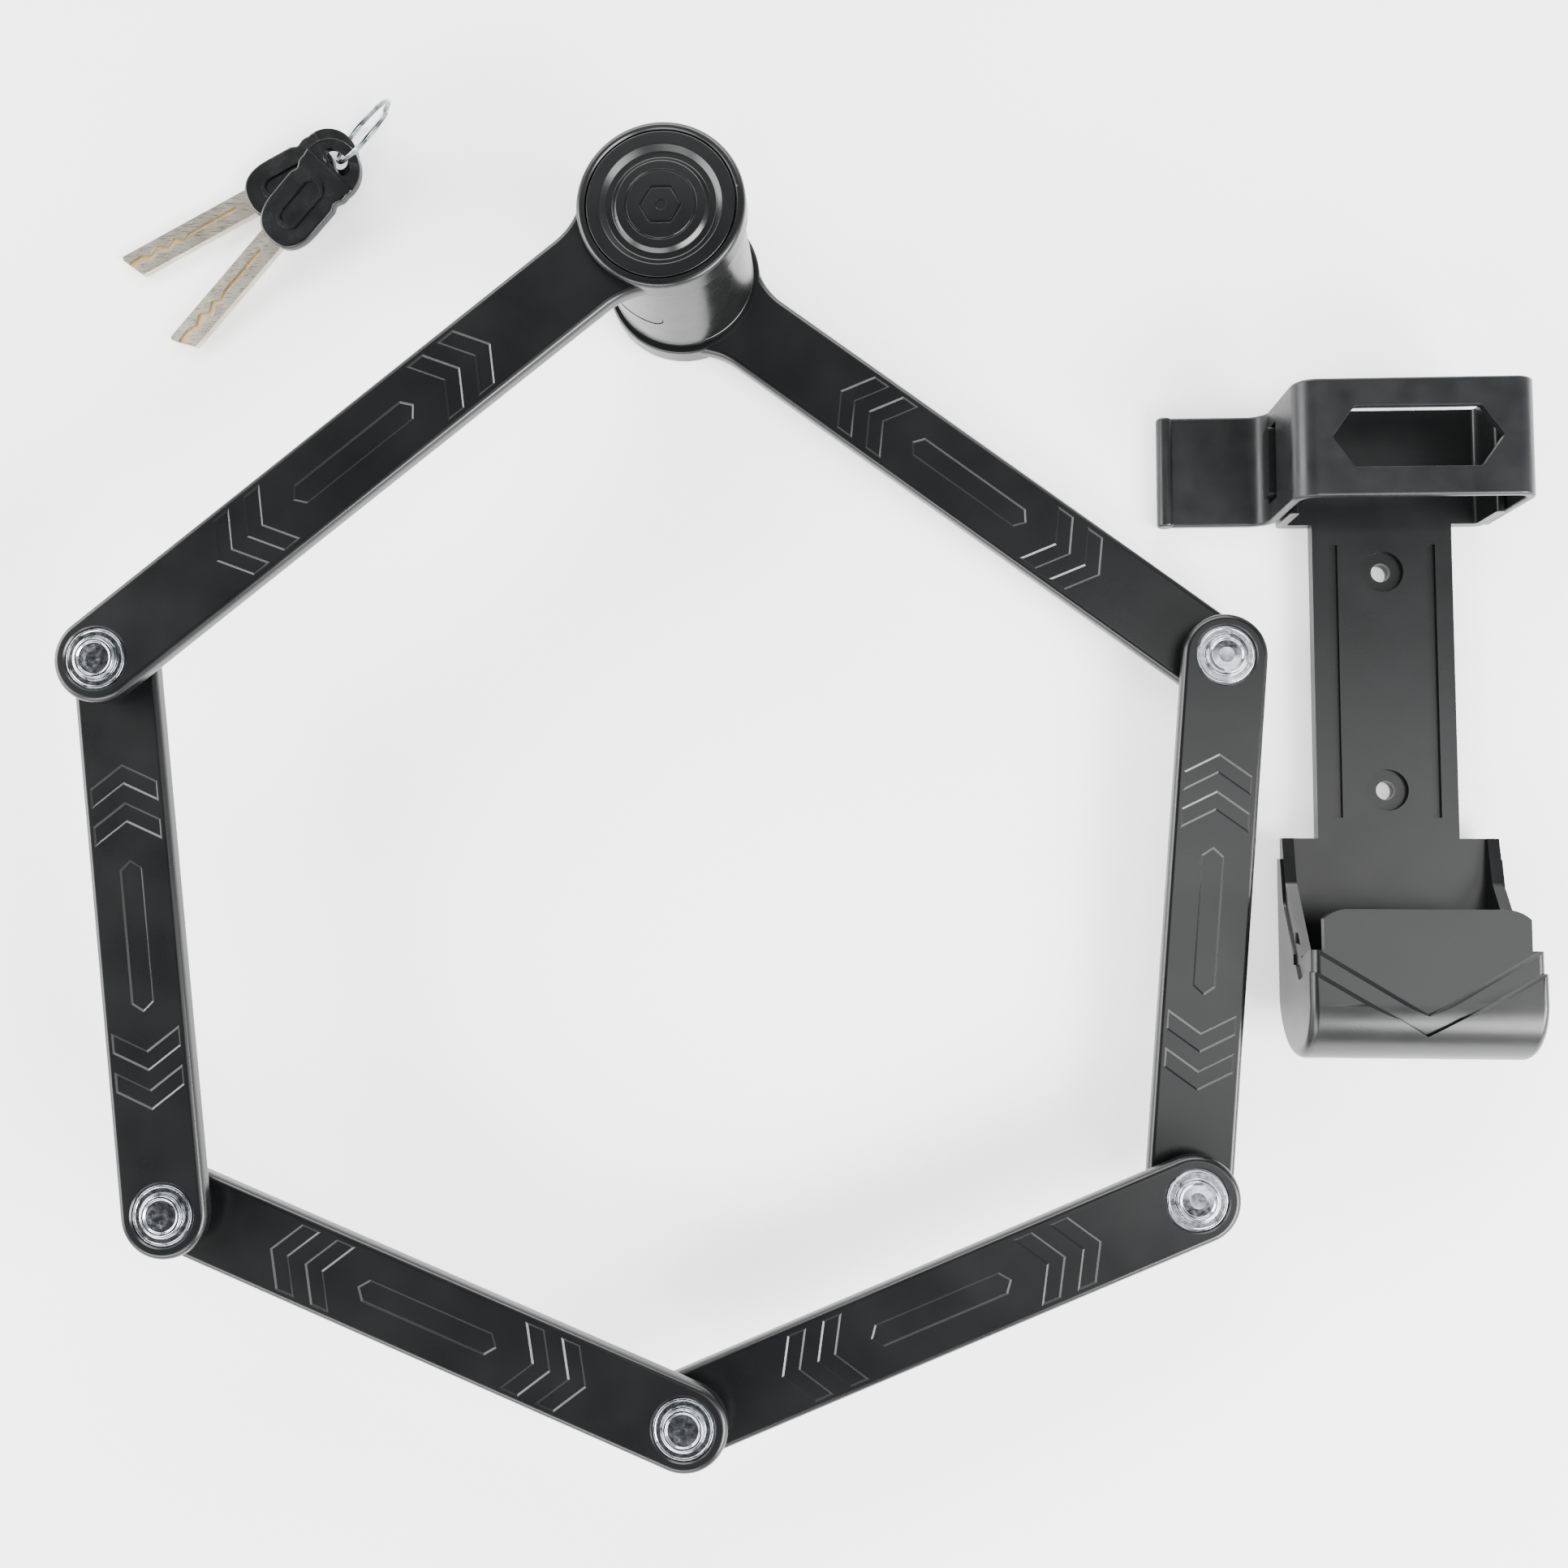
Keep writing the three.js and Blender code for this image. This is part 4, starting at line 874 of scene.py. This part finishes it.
def carrierBracket():
    inner = size["inner"] / 2
    place = carrierMatrix @ sideways
    cup = slab("carrierCup", lambda inset: roundEnded(outerRound, size["back"])(inset)[::-1],
               -cupHalf, cupHalf, size["edge"], place, 6)
    cavity = prism("cutter", roundEnded(innerRound, size["back"] + 3)(0)[::-1], -inner, inner, place)
    corner = size["cornerRadius"]
    shoulder = size["cupHeight"] - corner
    frontLoop = [(-cupHalf - 3, shoulder), (-cupHalf, shoulder)]
    frontLoop += arcPoints(-cupHalf + corner, shoulder, corner, pi, pi / 2, 10)
    frontLoop += arcPoints(cupHalf - corner, shoulder, corner, pi / 2, 0, 10)
    frontLoop += [(cupHalf + 3, shoulder), (cupHalf + 3, size["back"] + 4),
                  (-cupHalf - 3, size["back"] + 4)]
    front = prism("cutter", frontLoop[::-1], cupRoof - 0.4, cupTop + 5, carrierMatrix)
    skirts = [cupSkirt(*step) for step in skirtSteps]
    cuts = [cavity, front, cupRimCutter(-cupHalf - 2, -inner + 0.01),
            cupRimCutter(inner - 0.01, cupHalf + 2)]
    combine(cup, skirts, "UNION")
    combine(cup, cuts)

    bottom, top, half, end = size["spineLow"], size["spineTop"], size["spineHalf"], size["length"] - 1
    spineLoop = softened([(-half, outerRound, 1), (half, outerRound, 1),
                          (half, end, 2), (-half, end, 2)], True)
    spine = prism("spine", spineLoop, bottom, top, carrierMatrix)
    rise = top + size["saddle"]
    saddleLoop = softened([(-cupHalf, bottom, 2.5), (cupHalf, bottom, 2.5), (cupHalf, rise, 1),
                           (inner, rise, 1), (inner, top, 1.2), (-inner, top, 1.2),
                           (-inner, rise, 1), (-cupHalf, rise, 1)], True)
    lengthways = carrierMatrix @ Matrix(((1, 0, 0, 0), (0, 0, 1, 0), (0, 1, 0, 0), (0, 0, 0, 1)))
    saddle = prism("saddle", saddleLoop, strapLow, size["length"], lengthways)
    lugPlace = (carrierMatrix @ moved(-cupHalf, strapMiddle, lugZ)
                @ Matrix(((0, 0, -1, 0), (1, 0, 0, 0), (0, 1, 0, 0), (0, 0, 0, 1))))
    lug = prism("lug", roundedBox(10, 3, 1), -1, 4.5, lugPlace)
    combine(cup, [spine, saddle, lug], "UNION")
    middle = (size["back"] + strapLow) / 2
    holes = []
    for y in (middle - size["holeSpacing"] / 2, middle + size["holeSpacing"] / 2):
        spot = carrierMatrix @ moved(0, y)
        holes.append(rodCutter(size["holeRadius"], 0, 10, spot, 48))
        holes.append(rodCutter(size["counterbore"], top - size["counterDepth"], 10, spot, 64))
    for side in (-1, 1):
        x, slim = side * size["grooveFrom"], size["grooveHalf"]
        holes.append(blockCutter((x - slim, size["back"] + 6, top - 1), (x + slim, strapLow - 6, 10),
                                 carrierMatrix))
    combine(cup, holes)
    softenEdges(cup, 0.3, 3, 35)
    finishPiece(cup, "carrier", nylon, ["carrier_bracket"])


carrierBracket()
print("carrier cup made")


# Rubber pads with ribs across their undersides, clear of the hole in the middle.
def framePads():
    for name in ("frame_pad_lower", "frame_pad_upper"):
        low, high = nodeBox(name)
        centre = (low + high) / 2
        half = (high - low) / 2
        spot = moved(centre.x, centre.y)
        pad = prism(name + "_ribbed", roundedBox(half.x, half.y, 3), low.z, high.z, spot)
        cuts = [rodCutter(size["holeRadius"], -1, 5, spot, 48)]
        for row in range(-4, 5):
            if abs(row) > 1:
                y = centre.y + row * 2.8
                cuts.append(blockCutter((low.x - 1, y - 0.5, -1), (high.x + 1, y + 0.5, 0.5), Matrix()))
        combine(pad, cuts)
        softenEdges(pad, 0.2)
        finishPiece(pad, "carrier", rubber, [name])


framePads()

strapSize = {
    "thickness": 2.5, "corner": 6, "window": 46, "windowWidth": 17, "arrow": 6, "tabReach": 24,
    "bend": 5, "floor": 1.45, "bead": 2.4, "beadHalf": 16.5, "lugWindow": 22, "lugHeight": 8,
}


# The strap's middle line in X and Z: up the right wall, over the top, down the left and out.
def strapPath():
    strap = strapSize
    t = strap["thickness"]
    out = bandHigh.x - carrierPlace.x - t / 2
    top = bandHigh.z - t / 2
    corner = strap["corner"] - t / 2
    bend = strap["bend"] + t / 2
    floor = strap["floor"] + t / 2
    points = [(out, size["spineLow"] + 0.2)]
    points += arcPoints(out - corner, top - corner, corner, 0, pi / 2, 10)
    points += arcPoints(-out + corner, top - corner, corner, pi / 2, pi, 10)
    points += arcPoints(-out - bend, floor + bend, bend, 0, -pi / 2, 10)
    points += [(-out - bend - strap["tabReach"], floor)]
    return points


def spacedLine(points, pitch):
    result = []
    for (x0, z0), (x1, z1) in zip(points, points[1:]):
        steps = max(1, round(math.hypot(x1 - x0, z1 - z0) / pitch))
        result += [(x0 + (x1 - x0) * i / steps, z0 + (z1 - z0) * i / steps) for i in range(steps)]
    return result + [points[-1]]


def lineObject(name, points, closed):
    curve = bpy.data.curves.new(name, "CURVE")
    curve.dimensions = "3D"
    spline = curve.splines.new("POLY")
    spline.points.add(len(points) - 1)
    for point, place in zip(spline.points, points):
        point.co = (*(Vector(place) * mm), 1)
    spline.use_cyclic_u = closed
    made = bpy.data.objects.new(name, curve)
    bpy.context.scene.collection.objects.link(made)
    return made


def strapPiece():
    strap = strapSize
    route = spacedLine(strapPath(), 2.5)
    path = lineObject("strapPath", [(x, 0, z) for x, z in route], False)
    half, thick = size["strapWidth"] / 2 - 0.5, strap["thickness"] / 2
    section = lineObject("strapSection", [(x, y, 0) for x, y in roundedBox(thick, half, 0.8)], True)
    made = runTree("strap", straps, {"Path": path, "Section": section})
    bpy.data.objects.remove(path)
    bpy.data.objects.remove(section)
    shift = Vector((carrierPlace.x, carrierPlace.y + strapMiddle, 0))
    made.data.transform(Matrix.Translation(shift * mm))
    return made


strapObject = strapPiece()


def finishStrap(made):
    strap = strapSize
    place = carrierMatrix @ moved(0, strapMiddle)
    half, wide, arrow = strap["window"] / 2, strap["windowWidth"] / 2, strap["arrow"]
    window = [(-half, 0, 1), (-half + arrow, -wide, 1.5), (half - arrow, -wide, 1.5),
              (half, 0, 1), (half - arrow, wide, 1.5), (-half + arrow, wide, 1.5)]
    cuts = [prism("cutter", softened(window, True), cupTop - 1, cupTop + 6, place)]
    across, tall = strap["lugWindow"] / 2, strap["lugHeight"] / 2
    out = bandHigh.x - carrierPlace.x
    cuts.append(blockCutter((-out - 1, -across, lugZ - tall), (-out + 4, across, lugZ + tall), place))
    combine(made, cuts)
    radius, reach = strap["bead"], strap["beadHalf"]
    beadPlace = Matrix.Translation((-out - strap["bend"] - strap["tabReach"], 0,
                                    strap["floor"] + strap["thickness"] / 2))
    profile = softened([(0, -reach, 0), (radius, -reach, 0.8), (radius, reach, 0.8), (0, reach, 0)])
    bead = turned("bead", profile,
                  place @ beadPlace @ spun(pi / 2, "X"), 40)
    combine(made, [bead], "UNION")
    softenEdges(made, 0.3, 2, 50)
    shadeEven(made, rubber, 35)
    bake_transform(made)
    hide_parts("strap_band", "strap_tongue")


finishStrap(strapObject)
print("strap made")

# X runs from the hole that the ring passes to the tip; headings are in degrees from link 1's.
keySize = {
    "bowLength": 38, "bowWidth": 20, "bowThickness": 3.4, "lobe": 2.4, "slotFromEnd": 5.7,
    "slotWidth": 4.6, "slotBend": 7.5, "slotSwing": 24, "bladeWidth": 8.5, "bladeThickness": 2.2,
    "exposed": 44, "tang": 14, "ridgeMiddle": 17.5, "ridgeHeight": 0.45,
    "heading": {"a": 168.4, "b": 187.4},
}
keysHeading = math.atan2(pivots[0].y - pivots[1].y, pivots[0].x - pivots[1].x)


def keyMatrix(letter):
    hole = jointPlace(f"key_{letter}_swing")
    reach = keySize["bowLength"] - keySize["slotFromEnd"] + keySize["exposed"]
    tilt = math.asin((hole.z - keySize["bladeThickness"] / 2 - 0.3) / reach)
    heading = keysHeading + radians(keySize["heading"][letter])
    return Matrix.Translation(hole) @ spun(heading, "Z") @ spun(tilt, "Y")


def keyBlade(letter, matrix):
    k = keySize
    far = k["bowLength"] - k["slotFromEnd"]
    start, end = far - k["tang"], far + k["exposed"]
    half, thick = k["bladeWidth"] / 2, k["bladeThickness"] / 2
    outline = [(start, -half, 0.3), (end - 0.5, -half, 0.4), (end, -half + 1, 0.4), (end - 3.8, half, 0.5),
               (start, half, 0.3)]
    blade = prism(f"key_{letter}_bladeMilled", softened(outline, True), -thick, thick, matrix)
    # the track's upper side, as (distance back from the tip, height); it widens over the wavy part
    wave = 22
    upper = [(40, 0.45), (wave, 0.45), (20, 1.7), (17.4, 0.3), (14.6, 2.1), (11.6, 0.2), (8.6, 1.8),
             (5.6, 0.6), (1, 1.9)]
    upper = [(end - back, y) for back, y in upper]
    lower = [(x, y - 1.5 - 1.6 * max(0, (x - end + wave) / wave)) for x, y in reversed(upper)]
    lower = [(x, y + 0.35 * sin(x * 1.9)) for x, y in lower]
    groove = softened([(x, y, 0.5) for x, y in upper + lower], True, 3)[::-1]
    faces = [matrix @ Matrix.Scale(side, 4, (0, 0, 1)) for side in (1, -1)]
    cuts = [prism("cutter", groove, thick - 0.55, thick + 1, face) for face in faces]
    combine(blade, cuts)
    softenEdges(blade, 0.2)
    finishPiece(blade, f"key_{letter}", nickelSilver, [f"key_{letter}_blade"])
    # a thin sheet on each groove floor, coloured darker and warmer than the blade as painted shade in the
    # groove
    for face in faces:
        track = prism(f"key_{letter}_track", groove, thick - 0.6, thick - 0.5, face)
        combine(track, [prism("cutter", softened(outline, True), -thick, thick, matrix)], "INTERSECT")
        finishPiece(track, f"key_{letter}", trackPaintedShade)


# A full rounded body, drawn in at a shoulder and widening again to the lobe that holds the slot.
def bowLoop(inset):
    half, lobe = 9.4 - inset, 10 - inset
    body, head = 12 - inset, 9.5 - inset
    loop = []
    for i in range(33):
        angle = -pi / 2 + pi * i / 32
        c, d = cos(angle), sin(angle)
        loop.append((20.3 + body * max(c, 0) ** 0.8, half * math.copysign(abs(d) ** 0.8, d)))
    neck = [(14, half, 0), (12.4, half, 1.5), (10.4, half - 0.9, 1.2), (8.3, lobe - 0.35, 1.2),
            (7, lobe - 0.2, 0)]
    loop += softened(neck)
    turns = [radians(75 + 210 * i / 40) for i in range(41)]
    loop += [(3.8 + head * cos(t), lobe * sin(t)) for t in turns]
    loop += softened([(x, -y, r) for x, y, r in reversed(neck)])
    return loop


# The curved slot in the lobe, along an arc about a point toward the tip.
def bowSlot():
    half, bend, swing = keySize["slotWidth"] / 2, keySize["slotBend"], radians(keySize["slotSwing"])
    x, y = bend - bend * cos(swing), bend * sin(swing)
    loop = arcPoints(bend, 0, bend + half, pi - swing, pi + swing, 12)
    loop += arcPoints(x, -y, half, pi + swing, 2 * pi + swing, 8)
    loop += arcPoints(bend, 0, bend - half, pi + swing, pi - swing, 12)
    return loop + arcPoints(x, y, half, -swing, pi - swing, 8)


def keyBow(letter, matrix):
    k = keySize
    thick, lobe = k["bowThickness"] / 2, k["lobe"] / 2
    bow = slab(f"key_{letter}_bowGrained", bowLoop, -thick, thick, 0.9, matrix, 4)
    near, wide = -k["slotFromEnd"] - 2, k["bowWidth"]
    step = k["slotWidth"] / 2 + 1.5
    tang, room, gap = k["bowLength"] - k["slotFromEnd"] - k["tang"] - 1, 4.55, 1.4
    cuts = [prism("cutter", bowSlot(), -4, 4, matrix),
            blockCutter((near, -wide, lobe), (step, wide, 5), matrix),
            blockCutter((near, -wide, -5), (step, wide, -lobe), matrix),
            blockCutter((tang, -room, -gap), (60, room, gap), matrix)]
    ridges = []
    for side in (1, -1):
        flip = matrix @ Matrix.Scale(side, 4, (0, 0, 1)) @ moved(k["ridgeMiddle"], 0)
        ridge = prism("ridge", roundedBox(9.1, 4, 3.9, 8), thick - 0.2, thick + k["ridgeHeight"], flip)
        middle = prism("cutter", roundedBox(8, 2.9, 2.8, 8), thick - 1, thick + 2, flip)
        combine(ridge, [middle])
        ridges.append(ridge)
    combine(bow, cuts)
    combine(bow, ridges, "UNION")
    softenEdges(bow, 0.18)
    finishPiece(bow, f"key_{letter}", bowNylon, [f"key_{letter}_bow"])


for letter in ("a", "b"):
    placed = keyMatrix(letter)
    keyBlade(letter, placed)
    keyBow(letter, placed)

ringSize = {"radius": 12, "wire": 0.52, "turns": 2.0, "steps": 72, "tilt": 50, "lowHeading": 103.7}


def splitRing():
    low, high = nodeBox("split_ring")
    centre = (low + high) / 2
    r = ringSize
    rise = 1.9 * r["wire"]
    made = runTree("splitRingWire", coils, {
        "Turns": r["turns"], "Radius": r["radius"] * mm, "Rise": rise * mm, "Wire": r["wire"] * mm,
        "Steps": r["steps"]})
    side = keysHeading + radians(r["lowHeading"] + 90)
    lean = Matrix.Rotation(radians(r["tilt"]), 4, Vector((cos(side), sin(side), 0)))
    made.data.transform(Matrix.Translation(centre * mm) @ lean @ moved(0, 0, -rise / 2 * mm))
    finishPiece(made, "key_ring", springSteel, ["split_ring"], 60)


splitRing()
print("keys made")


# A light table: white acrylic, lit faintly from below, which keeps shadows soft and side walls bright.
def stageMaterial():
    material, tree, shader, place = emptyMaterial("paleFloor")
    soft = noiseOf(tree, place, 200, 2.0)
    tree.links.new(ramp(tree, soft, [(0.3, linear("#f6f6f6")), (0.7, linear("#fbfbfb"))]),
                   shader.inputs["Base Color"])
    shader.inputs["Roughness"].default_value = 0.8
    shader.inputs["Emission Color"].default_value = (1.0, 1.0, 1.0, 1.0)
    shader.inputs["Emission Strength"].default_value = 0.9
    return material


floorHalf, floorTop = 4000, -0.05
corners = [(-1, -1), (1, -1), (1, 1), (-1, 1)]
floor = meshObject("floor", [(x * floorHalf, y * floorHalf, floorTop) for x, y in corners], [[0, 1, 2, 3]])
floor.data.materials.append(stageMaterial())

# soft boxes low round the table, so that the flat faces reflect the dark ceiling between them
boxSet = {
    "back": {"turn": 95, "lift": 32, "power": 34, "width": 1.6, "height": 0.6},
    "left": {"turn": 175, "lift": 28, "power": 34, "width": 1.4, "height": 0.6},
    "right": {"turn": -32, "lift": 32, "power": 78, "width": 1.3, "height": 0.6},
    "front": {"turn": 245, "lift": 32, "power": 28, "width": 1.4, "height": 0.6},
    "top": {"turn": -8, "lift": 68, "power": 6, "width": 0.6, "height": 0.9},
    "strip": {"turn": 168, "lift": 12, "power": 9, "width": 0.9, "height": 0.12},
}
boxDistance = 1.5
for name, light in boxSet.items():
    data = bpy.data.lights.new(name, "AREA")
    data.shape = "RECTANGLE"
    data.energy = light["power"]
    data.size = light["width"]
    data.size_y = light["height"]
    turn, lift = radians(light["turn"]), radians(light["lift"])
    ground = cos(lift)
    place = Vector((cos(turn) * ground, sin(turn) * ground, sin(lift))) * boxDistance
    lamp = bpy.data.objects.new(name, data)
    lamp.location = place
    lamp.rotation_mode = "QUATERNION"
    lamp.rotation_quaternion = (-place).to_track_quat("-Z", "Y")
    bpy.context.scene.collection.objects.link(lamp)

# pale walls under a dark ceiling
world = bpy.data.worlds.new("studio")
world.use_nodes = True
tree = world.node_tree
outward = addNode(tree, "ShaderNodeTexCoord").outputs["Generated"]
direction = addNode(tree, "ShaderNodeSeparateXYZ", {"Vector": outward})
sky = ramp(tree, direction.outputs["Z"], [(0.35, grey(1.0)), (0.75, grey(0.07))])
tree.links.new(sky, tree.nodes["Background"].inputs["Color"])
tree.nodes["Background"].inputs["Strength"].default_value = 0.8
bpy.context.scene.world = world

# from the barrel's axis, in millimetres
cameraSet = {"offset": (56.9, -184.0, 440.9), "tiltX": 3.99, "tiltY": 3.39, "lens": 33.8}
camera = bpy.data.objects.new("camera", bpy.data.cameras.new("camera"))
camera.data.lens = cameraSet["lens"]
camera.data.sensor_width = 36
camera.data.clip_start = 0.01
eye = Vector((pivots[0].x, pivots[0].y, 0)) + Vector(cameraSet["offset"])
camera.matrix_world = (Matrix.Translation(eye * mm)
                       @ spun(radians(cameraSet["tiltX"]), "X")
                       @ spun(radians(cameraSet["tiltY"]), "Y"))
bpy.context.scene.collection.objects.link(camera)
bpy.context.scene.camera = camera
print("stage made")
